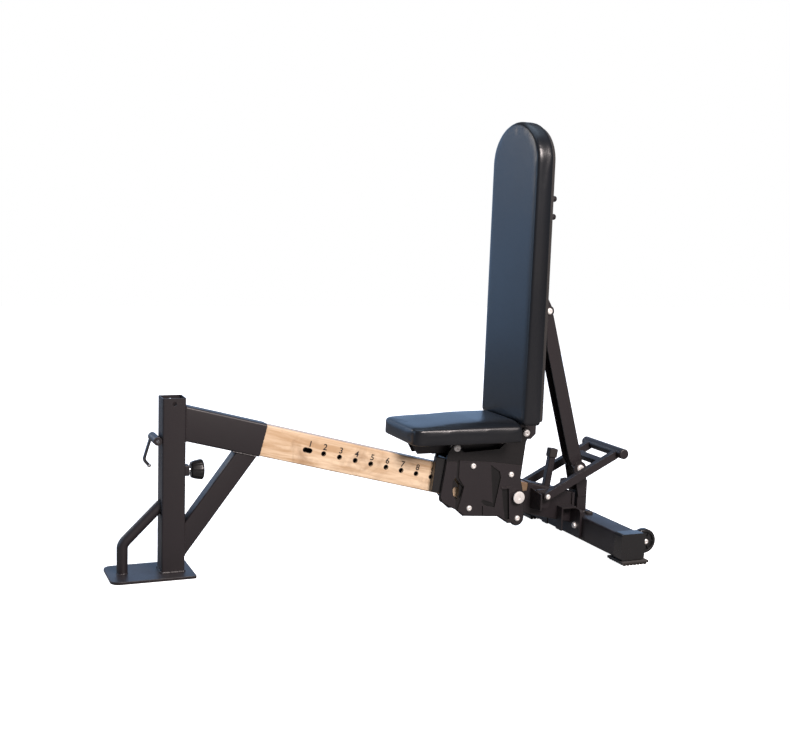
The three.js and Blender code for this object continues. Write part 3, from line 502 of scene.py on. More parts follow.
fabricated = {
    "base_plate": 0.0012, "front_post": 0.0007, "rail_neck": 0.0008, "neck_brace": 0.0006, "slide_rail": 0.0006,
    "latch_barrel": 0.0010, "knob_collar": 0.0012, "rear_hub": 0.0007, "rear_flange": 0.0010,
    "crossbeam": 0.0007, "upright": 0.0008, "stop_post": 0.0006, "handle_arm_left": 0.0016,
    "handle_arm_right": 0.0016, "handle_crossbar": 0.0006, "strut": 0.0010, "carriage_plate_left": 0.0008,
    "carriage_plate_right": 0.0008, "seat_channel": 0.0010, "back_channel": 0.0010, "guide_saddle": 0.0020,
    "end_plug_left": 0.0025, "end_plug_right": 0.0025, "stop_cap": 0.0025,
}
for nodeName, edgeWidth in fabricated.items():
    pressed = nodeName.startswith("carriage_plate")
    fabricate(nodeName, edgeWidth, "pressed_black" if pressed else slotByNode[nodeName])
print("steelwork finished:", len(fabricated))


# lift bar, bent from one round tube
def makeLiftBar():
    bar = {"radius": 0.0152, "bend": 0.044, "cornerHeight": 0.089, "sunkIn": 0.004}
    low = corners("lift_bar")[0]
    corner = Vector((low.x + barTube["radius"], 0, bar["cornerHeight"]))
    reach = corners("front_post")[0].x + bar["sunkIn"] - corner.x
    slant = alongX + upZ
    points = [Vector((corner.x, 0, low.z - 0.002)), Vector((corner.x, 0, low.z + 0.020)),
              corner - upZ * bar["bend"], corner - upZ * bar["bend"] / 2, corner]
    points += [corner + slant * step for step in (bar["bend"] / 2, bar["bend"] * 0.75, reach * 0.8, reach)]
    tube = sweep(points, bar["radius"], sides=8, resolution=8)
    fitOver(toObject("lift_bar_tube", tube, "frame_black"), "lift_bar")


barTube = {"radius": 0.0135, "bead": 0.0140, "slantedBead": 0.0200}
makeLiftBar()


# weld beads
def bead(name, points, radius, closed=False):
    ripple = {"step": 0.0035, "drift": 0.0005, "swell": 0.22, "lumps": 0.25}
    fine = []
    count = len(points)
    for index in range(count if closed else count - 1):
        start, end = points[index], points[(index + 1) % count]
        pieces = max(2, int((end - start).length / ripple["step"]))
        fine += [start.lerp(end, step / pieces) for step in range(pieces)]
    if not closed:
        fine.append(points[-1])
    shaken = []
    radii = []
    for index, point in enumerate(fine):
        shaken.append(point + noise.noise_vector(point * 180.0) * ripple["drift"])
        swell = ripple["swell"] * math.sin(index * 2.1)
        radii.append(1.0 + swell + ripple["lumps"] * noise.noise(point * 260.0))
    run = sweep(shaken, radius, sides=2, resolution=2, closed=closed, radii=radii)
    fit(toObject(name, run, "frame_black"), "frame", "frame_black")


def aroundSquare(low, high, height, cut):
    return [Vector((x, y, height)) for x, y in (
        (low.x + cut, low.y), (high.x - cut, low.y), (high.x, low.y + cut), (high.x, high.y - cut),
        (high.x - cut, high.y), (low.x + cut, high.y), (low.x, high.y - cut), (low.x, low.y + cut))]


def ring(centre, sideways, upwards, count):
    turns = [math.tau * index / count for index in range(count)]
    return [centre + sideways * math.cos(angle) + upwards * math.sin(angle) for angle in turns]


def makePostWelds():
    low, high = corners("front_post")
    barLow, barHigh = corners("lift_bar")
    plateTop = corners("base_plate")[1].z
    bead("weld_post_foot", aroundSquare(low, high, plateTop + 0.0008, 0.0035), 0.0034, closed=True)
    foot = Vector((barLow.x + barTube["radius"], 0, plateTop + 0.0005))
    circle = ring(foot, alongX * barTube["bead"], acrossY * barTube["bead"], 16)
    bead("weld_lift_bar_foot", circle, 0.0026, closed=True)
    top = Vector((low.x - 0.0004, 0, barHigh.z - barTube["radius"] * math.sqrt(2)))
    oval = ring(top, acrossY * barTube["bead"], upZ * barTube["slantedBead"], 20)
    bead("weld_lift_bar_top", oval, 0.0024, closed=True)


def neckEndCentre():
    x = corners("rail_neck")[1].x - neck["half"] * railRise.x    # the end's top edge is furthest from the post
    pin = middle("lock_pin")
    return Vector((x, 0, pin.z + (pin.x - x) * (-railRun.z / railRun.x)))


def makeNeckWelds():
    low, high = corners("rail_neck")
    half = (high.y - low.y) / 2
    x = corners("front_post")[1].x + 0.0006
    bottom = high.z - 2 * neck["half"] / railRun.x
    for side, sign in sideSigns.items():
        bead("weld_neck_" + side, [Vector((x, sign * half, z)) for z in (bottom, high.z)], 0.0022)
    bead("weld_neck_top", [Vector((x, y, high.z)) for y in (-half, half)], 0.0022)
    loop = [neckEndCentre() + railRise * up + acrossY * across for across, up in (
        (-0.0262, -0.040), (-0.0262, 0.040), (-0.020, 0.0462), (0.020, 0.0462),
        (0.0262, 0.040), (0.0262, -0.040), (0.020, -0.0462), (-0.020, -0.0462))]
    bead("weld_neck_end", loop, 0.0017, closed=True)


def makeBraceWelds():
    brace = {"side": 0.0232, "footTop": 0.141, "headSpan": (-0.0755, -0.0085), "headDrop": 0.0478}
    x = corners("front_post")[1].x + 0.0005
    foot = corners("neck_brace")[0].z
    under = neckEndCentre() - railRise * brace["headDrop"]
    for side, sign in sideSigns.items():
        y = sign * brace["side"]
        bead("weld_brace_foot_" + side, [Vector((x, y, z)) for z in (foot + 0.004, brace["footTop"])], 0.0022)
        span = [under + railRun * along + acrossY * y for along in brace["headSpan"]]
        bead("weld_brace_head_" + side, span, 0.0022)
    bead("weld_brace_foot_low", [Vector((x, y, foot + 0.002)) for y in (-0.020, 0.020)], 0.0024)


def makeUprightWeld():
    upright = {"front": -0.003, "length": 0.035, "half": 0.025}
    beamTop = corners("crossbeam")[1].z
    front = middle("strut_foot_bolt").x + upright["front"]
    low = Vector((front, -upright["half"], 0))
    high = Vector((front + upright["length"], upright["half"], 0))
    bead("weld_upright_foot", aroundSquare(low, high, beamTop + 0.0006, 0.003), 0.0026, closed=True)


neck = {"half": 0.0473}    # half the sleeve's height, square to the rail
makePostWelds()
makeNeckWelds()
makeBraceWelds()
makeUprightWeld()
print("welds laid")


# fasteners, their profiles in millimetres
def socketHead(radius, height):
    return [(0, height - 2.4), (radius * 0.34, height - 2.4), (radius * 0.34, height - 0.4),
            (radius * 0.40, height), (radius * 0.62, height - 0.2), (radius * 0.84, height * 0.83),
            (radius * 0.97, height * 0.55), (radius, height * 0.30), (radius, 0)]


def makeHexSocket(bm, radius, axisPoint):
    for vert in bm.verts:
        flat = Vector((vert.co.x - axisPoint.x, 0, vert.co.z - axisPoint.z))
        if 1e-5 < flat.length < radius * 0.36 * millimetre:
            angle = math.atan2(flat.z, flat.x) % (math.pi / 3) - math.pi / 6
            vert.co.x = axisPoint.x + flat.x * 0.866 / math.cos(angle)
            vert.co.z = axisPoint.z + flat.z * 0.866 / math.cos(angle)


def makeThroughBolt(node, head, shank, headHeight):
    half = turnedSize(node)[1]
    upper = [(r, half - headHeight + h) for r, h in socketHead(head, headHeight)]
    lower = [(r, -h) for r, h in reversed(upper)]
    profile = upper + [(shank, half - headHeight), (shank, -half + headHeight)] + lower
    bm = spinProfile(profile, 36, middle(node))
    makeHexSocket(bm, head, middle(node))
    fitOver(toObject(node + "_turned", bm, "zinc"), node)


boltSizes = {"seat_bolt": (11, 6, 7), "back_hinge_bolt": (11, 6, 6), "strut_foot_bolt": (12, 5, 6)}
for nodeName, (head, shank, headHeight) in boltSizes.items():
    makeThroughBolt(nodeName, head, shank, headHeight)
for rollerName in rollerNames:
    makeThroughBolt("roller_axle_" + rollerName, 8.5, 5, 5)
for side in sideSigns:
    makeThroughBolt("handle_bolt_" + side, 8, 5, 5.5)
    makeThroughBolt("wheel_axle_" + side, 8, 5, 5)


def makeStubBolt(side, sign):
    node = "strut_top_bolt_" + side
    stub = {"head": 10, "headHeight": 6.6, "shank": 5, "grip": 4.8}
    low, high = corners(node)
    head = [(r, stub["grip"] + h) for r, h in reversed(socketHead(stub["head"], stub["headHeight"]))]
    profile = [(0, 0), (stub["shank"], 0), (stub["shank"], stub["grip"])] + head
    place = Vector((middle(node).x, low.y if sign > 0 else high.y, middle(node).z))
    bm = spinProfile(profile, 36, place, acrossY * sign)
    makeHexSocket(bm, stub["head"], middle(node))
    fitOver(toObject(node + "_turned", bm, "zinc"), node)


def makeFlangeBolt(side):
    node = "flange_bolt_" + side
    bolt = {"headRadius": 0.009, "headDepth": 0.0055, "headAt": 0.0028, "seatAt": 0.0070}
    place = middle(node)
    place.x = corners(node)[0].x
    head = bmesh.new()
    bmesh.ops.create_cone(head, cap_ends=True, segments=6, radius1=bolt["headRadius"],
                          radius2=bolt["headRadius"], depth=bolt["headDepth"])
    roundEdges(head, 0.0008, 2)
    turnHead = Matrix.Rotation(math.pi / 2, 4, "Y")
    bmesh.ops.transform(head, matrix=Matrix.Translation(place + alongX * bolt["headAt"]) @ turnHead,
                        verts=head.verts)
    seat = place + alongX * bolt["seatAt"]
    washer = spinProfile([(4.9, 0), (9.5, 0), (10, 0.4), (10, 1.4), (4.9, 1.4), (4.9, 0)], 36, seat, -alongX)
    shank = spinProfile([(0, -8.2), (4.6, -8.2), (5, -7.8), (5, 0), (0, 0)], 24, seat, -alongX)
    fitOver(toObject(node + "_turned", merged([head, washer, shank]), "zinc"), node)


for side, sign in sideSigns.items():
    makeStubBolt(side, sign)
    makeFlangeBolt(side)


def makeLockPin():
    low, high = corners("lock_pin")
    length = (high.y - low.y) / millimetre
    disc = [(0, 1.4), (4.5, 1.4), (5.2, 0.8), (5.6, 0.3), (16.0, 0), (18.2, 0.5), (19, 1.6), (19, 4.2),
            (18.3, 5.2), (16.5, 5.5), (5.5, 5.5)]
    nose = [(5.5, length - 2.2), (3.6, length - 0.3), (3.2, length), (0, length)]
    bm = spinProfile(disc + nose, 60, Vector((middle("lock_pin").x, low.y, middle("lock_pin").z)))
    fitOver(toObject("lock_pin_turned", bm, "zinc"), "lock_pin")


def makePuck():
    place = Vector((middle("strut_foot_bolt").x + 0.027, -0.050, corners("crossbeam")[1].z + 0.0001))
    profile = [(0, 7.4), (8.6, 7.0), (10.8, 6.0), (12, 4.2), (12, 1.0), (11.4, 0), (0, 0)]
    fit(toObject("beam_puck", spinProfile(profile, 40, place, upZ), "rubber"), "frame", "rubber")


makeLockPin()
makePuck()
print("fasteners turned")


# rollers, wheels and handle bar
def makeRollers():
    for rollerName in rollerNames:
        node = "roller_" + rollerName
        radius, half = turnedSize(node)
        profile = [(5.6, -half), (9, -half), (9.5, -half + 0.8), (radius - 4, -half + 0.8), (radius - 3, -half),
                   (radius - 0.8, -half), (radius, -half + 0.9), (radius, half - 0.9), (radius - 0.8, half),
                   (radius - 3, half), (radius - 4, half - 0.8), (9.5, half - 0.8), (9, half), (5.6, half),
                   (5.6, -half)]
        fitOver(toObject(node + "_turned", spinProfile(profile, 48, middle(node)), "black_plastic"), node)


def makeWheels():
    spoke = {"count": 6, "inner": 0.013, "outer": 0.0275, "half": 0.0014, "sunk": 0.001}
    for side in sideSigns:
        node = "wheel_" + side
        radius, half = turnedSize(node)
        rim = [(5.6, -half), (12, -half), (13.5, -half + 1), (14.5, -half + 5), (26, -half + 6),
               (27.5, -half + 2), (29, -half + 0.6), (radius - 3, -half + 0.4), (radius - 1, -half + 1.6),
               (radius, -half + 4)]
        profile = rim + [(radius, 0)] + [(r, -h) for r, h in reversed(rim)] + [rim[0]]
        bm = spinProfile(profile, 64, middle(node))
        ribs = []
        for index in range(spoke["count"]):
            reach = half * millimetre - spoke["sunk"]
            rib = boxBetween((spoke["inner"], -reach, -spoke["half"]), (spoke["outer"], reach, spoke["half"]))
            roundEdges(rib, 0.0006, 2)
            turn = Matrix.Rotation(index * math.tau / spoke["count"], 4, "Y")
            bmesh.ops.transform(rib, matrix=Matrix.Translation(middle(node)) @ turn, verts=rib.verts)
            ribs.append(rib)
        fitOver(toObject(node + "_moulded", merged([bm, *ribs]), "black_plastic"), node)


def makeHandleBar():
    half = turnedSize("handle_bar")[1]
    end = [(0, -half), (12.8, -half), (14.6, -half + 0.5), (15.6, -half + 1.6), (16, -half + 3),
           (16, -half + 5.4), (15.5, -half + 6), (15.5, -half + 6.8), (16, -half + 7.4)]
    profile = end + [(r, -h) for r, h in reversed(end)]
    bm = spinProfile(profile, 48, middle("handle_bar"))
    fitOver(toObject("handle_bar_turned", bm, "frame_black"), "handle_bar")


makeRollers()
makeWheels()
makeHandleBar()


# ribbed rubber feet
def makeFootPads():
    tread = {"height": 0.0060, "pitch": 0.0118, "width": 0.0080}
    for side in sideSigns:
        node = "foot_pad_" + side
        low, high = corners(node)
        slab = bmesh.new()
        slab.from_mesh(frame["nodes"][node].data)
        bmesh.ops.remove_doubles(slab, verts=slab.verts, dist=2e-6)
        bmesh.ops.dissolve_limit(slab, angle_limit=math.radians(1.0), verts=slab.verts, edges=slab.edges)
        for vert in slab.verts:
            if vert.co.z < low.z + 0.001:
                vert.co.z = low.z + tread["height"] - 0.0008
        roundEdges(slab, 0.0012, 2)
        parts = [slab]
        columns = int((high.x - low.x) / tread["pitch"])
        rows = int((high.y - low.y) / tread["pitch"])
        startX = middle(node).x - (columns - 1) * tread["pitch"] / 2
        startY = middle(node).y - (rows - 1) * tread["pitch"] / 2
        for column in range(columns):
            for row in range(rows):
                stud = bmesh.new()
                bmesh.ops.create_cone(stud, cap_ends=True, segments=4, radius1=tread["width"] * 0.60,
                                      radius2=tread["width"] * 0.70, depth=tread["height"])
                place = Matrix.Translation((startX + column * tread["pitch"], startY + row * tread["pitch"],
                                            low.z + tread["height"] / 2))
                bmesh.ops.transform(stud, matrix=place @ Matrix.Rotation(math.pi / 4, 4, "Z"), verts=stud.verts)
                parts.append(stud)
        fitOver(toObject(node + "_moulded", merged(parts), "rubber"), node)


makeFootPads()
print("wheels, rollers, bar and feet made")


# pull knob, its pin and spring
def makeKnob():
    knob = {"ribs": 16, "ribDepth": 0.0009, "core": 0.0225, "ribSpan": (3.0, 33.0)}
    start = Vector((corners("post_knob")[0].x, 0, middle("post_knob").z))
    profile = [(6.2, 1.5), (12, 0.4), (19.5, 0), (21.5, 1.0), (22.8, 3.4), (23.6, 5.5), (25.6, 12),
               (27.2, 20), (28.2, 26), (28.3, 29.5), (27.4, 32.2), (25, 34), (20, 35), (16.5, 34.8),
               (15.4, 33.6), (14, 32.6), (7, 32.2), (0, 32.0)]
    bm = spinProfile(profile, 128, start, alongX)
    first, last = knob["ribSpan"]
    for vert in bm.verts:
        flat = Vector((0, vert.co.y, vert.co.z - start.z))
        along = (vert.co.x - start.x) / millimetre
        if flat.length > knob["core"] and first < along < last:
            dip = max(0.0, math.cos(math.atan2(flat.z, flat.y) * knob["ribs"])) ** 2 * knob["ribDepth"]
            fade = min(1.0, (along - first) / 5.0, (last - along) / 3.0)
            flat *= 1 - dip * fade / flat.length
            vert.co.y, vert.co.z = flat.y, flat.z + start.z
    fitOver(toObject("post_knob_moulded", bm, "black_plastic", 50.0), "post_knob")


def makeKnobPin():
    start = Vector((corners("knob_pin")[0].x, 0, middle("post_knob").z))
    profile = [(0, 0), (8.5, 0), (10, 1), (10, 3), (6, 3), (6, 44.6), (8.4, 44.6), (9, 45.2), (9, 48.9),
               (8.4, 49.5), (6, 49.5), (6, 71.4), (5.4, 72), (0, 72)]
    fitOver(toObject("knob_pin_turned", spinProfile(profile, 40, start, alongX), "chrome"), "knob_pin")


def makeKnobSpring():
    spring = {"turns": 4, "wire": 0.0009, "steps": 64}
    low, high = corners("knob_spring")
    radius = (high.z - low.z) / 2 - spring["wire"]
    run = high.x - low.x - 2 * spring["wire"]
    coil = []
    for step in range(spring["steps"] + 1):
        share = step / spring["steps"]
        angle = math.tau * spring["turns"] * share
        coil.append(Vector((low.x + spring["wire"] + run * share, radius * math.cos(angle),
                            middle("post_knob").z + radius * math.sin(angle))))
    wound = sweep(coil, spring["wire"], sides=2, resolution=2)
    fitOver(toObject("knob_spring_coil", wound, "zinc"), "knob_spring")


makeKnob()
makeKnobPin()
makeKnobSpring()


# latch lever
def makeLatch():
    latch = {"rod": 0.0046, "rodAt": 0.0106, "tip": 0.0058, "tipReach": 0.002}
    barrelLow, barrelHigh = corners("latch_barrel")
    axis = middle("latch_barrel")
    near = [(0, -3.2), (2.6, -3.2), (3.2, -2.4), (3.2, -0.6), (5, -0.4)]
    length = (barrelHigh.y - barrelLow.y) / millimetre
    far = [(5, length + 0.4), (7.6, length + 0.4), (8, length + 0.8), (8, length + 5.6), (7.6, length + 6),
           (5, length + 6), (5, length + 14.2), (4.2, length + 15), (0, length + 15)]
    shaft = spinProfile(near + far, 40, Vector((axis.x, barrelLow.y, axis.z)))
    start = barrelHigh.y + latch["rodAt"]
    bends = [(0, 0), (-3.2, -10), (-7, -23), (-11.5, -37), (-17.0, -56), (-19.4, -64), (-17.4, -71), (-12, -77),
             (-7, -83)]
    points = [Vector((axis.x + x * millimetre, start, axis.z + z * millimetre)) for x, z in bends]
    rod = sweep(points, latch["rod"], sides=5, resolution=8)
    fitOver(toObject("latch_lever_bent", merged([shaft, rod]), "darkSteel"), "latch_lever")
    tip = points[-1] + (points[-1] - points[-2]).normalized() * latch["tipReach"]
    ball = bmesh.new()
    bmesh.ops.create_uvsphere(ball, u_segments=24, v_segments=16, radius=latch["tip"])
    bmesh.ops.translate(ball, verts=ball.verts, vec=tip)
    fit(toObject("latch_tip", ball, "zinc"), "latch_lever", "zinc")


makeLatch()
print("knob and latch made")


# numbers and rims beside the rail's holes, and a dark sheet inside the rail, painted shade seen through the holes
railHoles = {"count": 15, "pitch": 0.050, "firstToPin": 0.686}


def holePlaces():
    pin = middle("lock_pin")
    first = Vector((pin.x, 0, pin.z)) - railRun * railHoles["firstToPin"]
    return [first + railRun * railHoles["pitch"] * index for index in range(railHoles["count"])]


def makeNumbers():
    digits = {"height": 0.0172, "rise": 0.0185, "thickness": 0.00015, "weight": 0.00045, "slotShift": 0.004}
    face = corners("slide_rail")[0].y
    turn = Matrix((railRun, railRise, -acrossY)).transposed().to_4x4()
    parts = []
    for index, hole in enumerate(holePlaces()):
        text = bpy.data.curves.new("digit", "FONT")
        text.body = str(index + 1)
        text.size = digits["height"] / 0.7
        text.extrude = digits["thickness"]
        text.offset = digits["weight"]
        text.align_x = "CENTER"
        text.align_y = "CENTER"
        bm = shapeOf(text)
        place = hole + railRise * digits["rise"] + railRun * (0.0 if index else digits["slotShift"])
        place.y = face - digits["thickness"] * 0.4
        bmesh.ops.transform(bm, matrix=Matrix.Translation(place) @ turn, verts=bm.verts)
        parts.append(bm)
    fit(toObject("rail_numbers", merged(parts), "ink"), "frame", "black_plastic")


def makeHoleRims():
    rim = {"inner": 0.0059, "outer": 0.0074, "slotHalf": 0.0072, "thickness": 0.0003, "steps": 32}
    face = corners("slide_rail")[0].y - 0.00005
    turns = [math.tau * step / rim["steps"] for step in range(rim["steps"])]
    rims = []
    for index, hole in enumerate(holePlaces()):
        stretch = 0.0 if index else rim["slotHalf"]    # the first hole is a slot
        bm = bmesh.new()
        loops = []
        for radius in (rim["inner"], rim["outer"]):
            points = [hole + railRun * (radius * math.cos(angle) + math.copysign(stretch, math.cos(angle)))
                      + railRise * (radius * math.sin(angle)) for angle in turns]
            loops.append([bm.verts.new((point.x, face, point.z)) for point in points])
        for step in range(rim["steps"]):
            after = (step + 1) % rim["steps"]
            bm.faces.new((loops[0][step], loops[0][after], loops[1][after], loops[1][step]))
        thicken(bm, (0, -rim["thickness"], 0))
        rims.append(bm)
    fit(toObject("rail_hole_rims", merged(rims), "ink"), "frame", "black_plastic")


def makePaintedShadeSheet():
    # painted shade: a thin dark sheet inside the rail tube stands for the shade seen through the holes
    shadeSheet = {"start": -0.03, "end": 0.75, "halfThickness": 0.0003, "halfHeight": 0.014}
    strip = boxBetween((shadeSheet["start"], -shadeSheet["halfThickness"], -shadeSheet["halfHeight"]),
                       (shadeSheet["end"], shadeSheet["halfThickness"], shadeSheet["halfHeight"]))
    lay = Matrix((railRun, acrossY, railRise)).transposed().to_4x4()
    bmesh.ops.transform(strip, matrix=Matrix.Translation(holePlaces()[0]) @ lay, verts=strip.verts)
    fit(toObject("rail_painted_shade_sheet", strip, "ink"), "frame", "black_plastic")


makeNumbers()
makeHoleRims()
makePaintedShadeSheet()
print("numbers printed")


# cushions
def outlineFace(points):
    bm = bmesh.new()
    bm.faces.new([bm.verts.new(point) for point in points])
    return bm


def arc(centre, radiusX, radiusY, start, end, steps):
    return [(centre[0] + radiusX * math.cos(math.radians(start + (end - start) * i / steps)),
             centre[1] + radiusY * math.sin(math.radians(start + (end - start) * i / steps)))
            for i in range(steps + 1)]


def backrestOutline(inset):
    low, high = corners("backrest_pad")
    shape = {"shoulder": 0.771, "corner": 0.010}
    half = (high.y - low.y) / 2 - inset
    bottom, top = low.z + inset, high.z - inset
    shoulder = low.z + shape["shoulder"]
    corner = shape["corner"]
    points = arc((half - corner, bottom + corner), corner, corner, -90, 0, 5)
    points += arc((0, shoulder), half, top - shoulder, 0, 180, 30)
    points += arc((-half + corner, bottom + corner), corner, corner, 180, 270, 5)
    return points


def seatOutline(inset):
    low, high = corners("seat_pad")
    shape = {"nose": 0.030, "rear": 0.007, "taper": 0.012, "gap": 0.0008}
    front, rear = low.x + inset, high.x + min(-inset, shape["gap"])
    wide = (high.y - low.y) / 2 - inset
    narrow = wide - shape["taper"]
    points = arc((front + shape["nose"], -narrow + shape["nose"]), shape["nose"], shape["nose"], 180, 266, 7)
    points += arc((rear - shape["rear"], -wide + shape["rear"]), shape["rear"], shape["rear"], -86, 0, 4)
    return points + [(x, -y) for x, y in reversed(points)]


def paddedSolid(points, thickness, toWorld, bigRadius, smallRadius):
    bm = thicken(outlineFace([(a, b, 0) for a, b in points]), (0, 0, thickness))
    for height, radius, segments in ((thickness, bigRadius, 5), (0.0, smallRadius, 3)):
        rim = [edge for edge in bm.edges if all(abs(v.co.z - height) < 1e-6 for v in edge.verts)]
        bmesh.ops.bevel(bm, geom=rim, offset=radius, offset_type="OFFSET", segments=segments, profile=0.5,
                        affect="EDGES", clamp_overlap=True, material=-1)
    bmesh.ops.transform(bm, matrix=toWorld, verts=bm.verts)
    bmesh.ops.recalc_face_normals(bm, faces=bm.faces)
    return bm


def remeshed(piece, voxel):
    modifier = piece.modifiers.new("voxels", "REMESH")
    modifier.mode = "VOXEL"
    modifier.voxel_size = voxel
    mesh = evaluatedMesh(piece)
    piece.modifiers.clear()
    old = piece.data
    piece.data = mesh
    bpy.data.meshes.remove(old)


def inflate(piece, pinned, pressure, limit):
    group = piece.vertex_groups.new(name="board")
    group.add([vert.index for vert in piece.data.vertices if pinned(vert.co)], 1.0, "REPLACE")
    start = [vert.co.copy() for vert in piece.data.vertices]
    cloth = piece.modifiers.new("stuffing", "CLOTH")
    cloth.settings.vertex_group_mass = group.name
    cloth.settings.use_pressure = True
    cloth.settings.uniform_pressure_force = pressure
    cloth.settings.effector_weights.gravity = 0.0
    cloth.settings.quality = 6
    cloth.settings.tension_stiffness = 40.0
    cloth.settings.compression_stiffness = 40.0
    cloth.settings.shear_stiffness = 20.0
    cloth.settings.bending_stiffness = 2.0
    cloth.collision_settings.use_collision = False
    for step in range(1, 21):    # long enough for the skin to settle
        scene.frame_set(step)
    settled = piece.evaluated_get(bpy.context.evaluated_depsgraph_get()).data
    moved = [vert.co.copy() for vert in settled.vertices]
    piece.modifiers.remove(cloth)
    scene.frame_set(1)
    for vert, before, after in zip(piece.data.vertices, start, moved):
        shift = after - before
        if shift.length > limit:
            shift *= limit / shift.length
        vert.co = before + shift
    piece.vertex_groups.clear()


def crowned(piece, bottom, crown):
    low, high = corners("seat_pad")
    half = (high.y - low.y) / 2
    for vert in piece.data.vertices:
        along = (vert.co.x - low.x) / (high.x - low.x)
        across = min(1.0, abs(vert.co.y) / half)
        rise = crown["front"] + (crown["rear"] - crown["front"]) * along
        rise += crown["middle"] * (1 - across ** 5) * (0.35 + 0.65 * min(1.0, along * 1.6))
        vert.co.z += rise * (vert.co.z - bottom) / (high.z - bottom)


def smoothed(piece, repeats):
    bm = bmesh.new()
    bm.from_mesh(piece.data)
    for _ in range(repeats):
        bmesh.ops.smooth_vert(bm, verts=bm.verts, factor=0.5, use_axis_x=True, use_axis_y=True, use_axis_z=True)
    for face in bm.faces:
        face.smooth = True
    bm.to_mesh(piece.data)
    bm.free()


def finishCushion(piece):
    rounding = piece.modifiers.new("smoothSkin", "SUBSURF")
    rounding.levels = 1
    rounding.render_levels = 1
    piece.data.materials.clear()
    piece.data.materials.append(finishes["vinyl"])


def makeBackrest():
    pad = {"voxel": 0.0050, "bigRadius": 0.010, "smallRadius": 0.004, "pressure": 2.0, "limit": 0.0010,
           "inset": -0.0025, "bulge": 0.005, "rearOver": 0.0015, "held": 0.012}
    board = {"inset": 0.007, "sunk": 0.0008, "edge": 0.0012}
    low, high = corners("backrest_pad")
    rear = high.x + pad["rearOver"]
    thickness = rear - low.x
    toWorld = Matrix(((0, 0, -1, rear), (1, 0, 0, 0), (0, 1, 0, 0), (0, 0, 0, 1)))
    solid = paddedSolid(backrestOutline(pad["inset"]), thickness, toWorld, pad["bigRadius"], pad["smallRadius"])
    piece = toObject("backrest_cushion", solid, "vinyl")
    remeshed(piece, pad["voxel"])
    smoothed(piece, 2)
    for vert in piece.data.vertices:
        depth = (rear - vert.co.x) / thickness
        vert.co.x -= pad["bulge"] * depth * (1 - (vert.co.z - low.z) / (high.z - low.z))
    inflate(piece, lambda co: co.x > rear - pad["held"], pad["pressure"], pad["limit"])
    smoothed(piece, 3)
    finishCushion(piece)
    fit(piece, "backrest", "vinyl", "backrest_pad")

    boardRear = corners("backrest_board")[1].x
    panel = outlineFace([(boardRear, a, b) for a, b in backrestOutline(board["inset"])])
    thicken(panel, (rear - board["sunk"] - boardRear, 0, 0))
    roundEdges(panel, board["edge"], 2, 60.0)
    fitOver(toObject("backrest_backing", panel, "board"), "backrest_board")


def makeSeat():
    pad = {"voxel": 0.0045, "bigRadius": 0.010, "smallRadius": 0.003, "pressure": 2.0, "limit": 0.0010,
           "inset": -0.0030, "crown": {"front": -0.004, "rear": -0.001, "middle": 0.014}, "held": 0.012}
    board = {"inset": 0.016, "under": 0.0006, "thickness": 0.0022}
    bottom = corners("seat_board")[0].z - board["thickness"]
    toWorld = Matrix.Translation((0, 0, bottom))
    solid = paddedSolid(seatOutline(pad["inset"]), corners("seat_pad")[1].z - bottom, toWorld,
                        pad["bigRadius"], pad["smallRadius"])
    piece = toObject("seat_cushion", solid, "vinyl")
    remeshed(piece, pad["voxel"])
    smoothed(piece, 2)
    crowned(piece, bottom, pad["crown"])
    inflate(piece, lambda co: co.z < bottom + pad["held"], pad["pressure"], pad["limit"])
    smoothed(piece, 3)
    finishCushion(piece)
    fit(piece, "carriage", "vinyl", "seat_pad")

    panel = outlineFace([(a, b, bottom - board["under"]) for a, b in seatOutline(board["inset"])])
    thicken(panel, (0, 0, board["thickness"]))
    fitOver(toObject("seat_backing", panel, "board"), "seat_board")


makeBackrest()
makeSeat()
print("cushions stuffed")


# studio
def makeFloor():
    floor = {"half": 9.0, "pale": (0.90, 0.90, 0.91), "bounce": (0.30, 0.29, 0.28), "shade": 0.985}
    material, tree, shader = newMaterial("studioFloor", {"Roughness": 0.9, "Specular IOR Level": 0.1,
                                                         "Emission Color": (1.0, 1.0, 1.0, 1.0)})
    grain = placeGroup(tree, "grain", {"Fine": 60.0, "Coarse": 1.2})
    seen = addNode(tree, "ShaderNodeLightPath")
    shaded = tuple(part * floor["shade"] for part in floor["pale"])
    pale = mixColor(tree, grain.outputs["Mottle"], floor["pale"], shaded)
    color = mixColor(tree, seen.outputs["Is Camera Ray"], floor["bounce"], pale)
    tree.links.new(color, shader.inputs["Base Color"])
    tree.links.new(seen.outputs["Is Camera Ray"], shader.inputs["Emission Strength"])
    bm = bmesh.new()
    bmesh.ops.create_grid(bm, x_segments=2, y_segments=2, size=floor["half"])
    bmesh.ops.translate(bm, verts=bm.verts, vec=(0, 0, frameBox[0][2] - 0.0002))
    mesh = bpy.data.meshes.new("studio_floor")
    bm.to_mesh(mesh)
    bm.free()
    mesh.materials.append(material)
    piece = bpy.data.objects.new("studio_floor", mesh)
    scene.collection.objects.link(piece)


def addLight(name, place, target, size, power, color):
    data = bpy.data.lights.new(name, "AREA")
    data.shape = "RECTANGLE"
    data.size, data.size_y = size
    data.energy = power
    data.color = color
    lamp = bpy.data.objects.new(name, data)
    lamp.location = place
    lamp.rotation_euler = (Vector(target) - Vector(place)).to_track_quat("-Z", "Y").to_euler()
    lamp.visible_camera = False
    scene.collection.objects.link(lamp)


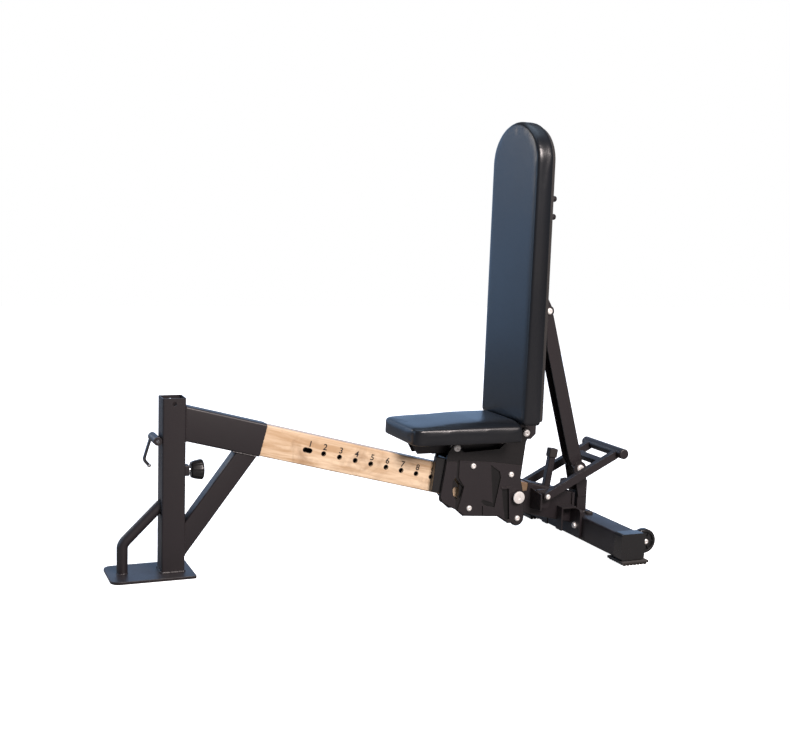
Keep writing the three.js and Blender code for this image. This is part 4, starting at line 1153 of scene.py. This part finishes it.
lamps = {    # place, target, size, watts, colour
    "keyWarm": ((0.9, -4.2, 3.5), (0.5, 0, 0.3), (2.2, 1.6), 425, (1.0, 0.89, 0.86)),
    "sideCool": ((-3.8, 0.6, 1.4), (0.2, 0, 0.6), (2.4, 2.4), 36, (0.45, 0.68, 1.0)),
    "topSoft": ((0.1, 0.6, 3.6), (0.1, 0, 0.3), (3.2, 2.2), 34, (0.60, 0.78, 1.0)),
    "backPanel": ((-0.8, 4.6, 1.5), (-0.8, 0, 1.2), (12.0, 2.9), 110, (0.36, 0.60, 1.0)),
    "rearFill": ((-3.0, 3.2, 2.2), (0.2, 0, 0.5), (2.0, 1.4), 34, (1.0, 0.90, 0.80)),
}


def makeStudio():
    sky = {"strength": 0.14, "tint": (0.90, 0.93, 1.0)}
    world = bpy.data.worlds.new("studio")
    world.use_nodes = True
    tree = world.node_tree
    seen = addNode(tree, "ShaderNodeLightPath")
    strength = ramp(tree, seen.outputs["Is Camera Ray"], 0.0, 1.0, sky["strength"], 1.0)
    tint = mixColor(tree, seen.outputs["Is Camera Ray"], sky["tint"], (1.0, 1.0, 1.0))
    background = tree.nodes["Background"]
    tree.links.new(tint, background.inputs["Color"])
    tree.links.new(strength, background.inputs["Strength"])
    scene.world = world
    makeFloor()
    for name, setting in lamps.items():
        addLight(name, *setting)


def makeCamera():
    view = {"place": (-1.2782, -3.1195, 0.9891), "heading": 22.77, "tilt": -7.37, "roll": 1.91, "lens": 53.2}
    heading, tilt, roll = (math.radians(view[key]) for key in ("heading", "tilt", "roll"))
    forward = Vector((math.sin(heading) * math.cos(tilt), math.cos(heading) * math.cos(tilt), math.sin(tilt)))
    right = Vector((math.cos(heading), -math.sin(heading), 0))
    up = right.cross(forward)
    turnedRight = right * math.cos(roll) + up * math.sin(roll)
    turnedUp = up * math.cos(roll) - right * math.sin(roll)
    data = bpy.data.cameras.new("mainCamera")
    data.lens = view["lens"]
    data.sensor_width = 36.0
    data.sensor_fit = "HORIZONTAL"
    camera = bpy.data.objects.new("mainCamera", data)
    facing = Matrix((turnedRight, turnedUp, -forward)).transposed().to_4x4()
    camera.matrix_world = Matrix.Translation(view["place"]) @ facing
    scene.collection.objects.link(camera)
    scene.camera = camera


makeStudio()
makeCamera()
scene.view_settings.view_transform = "Standard"
print("studio ready")
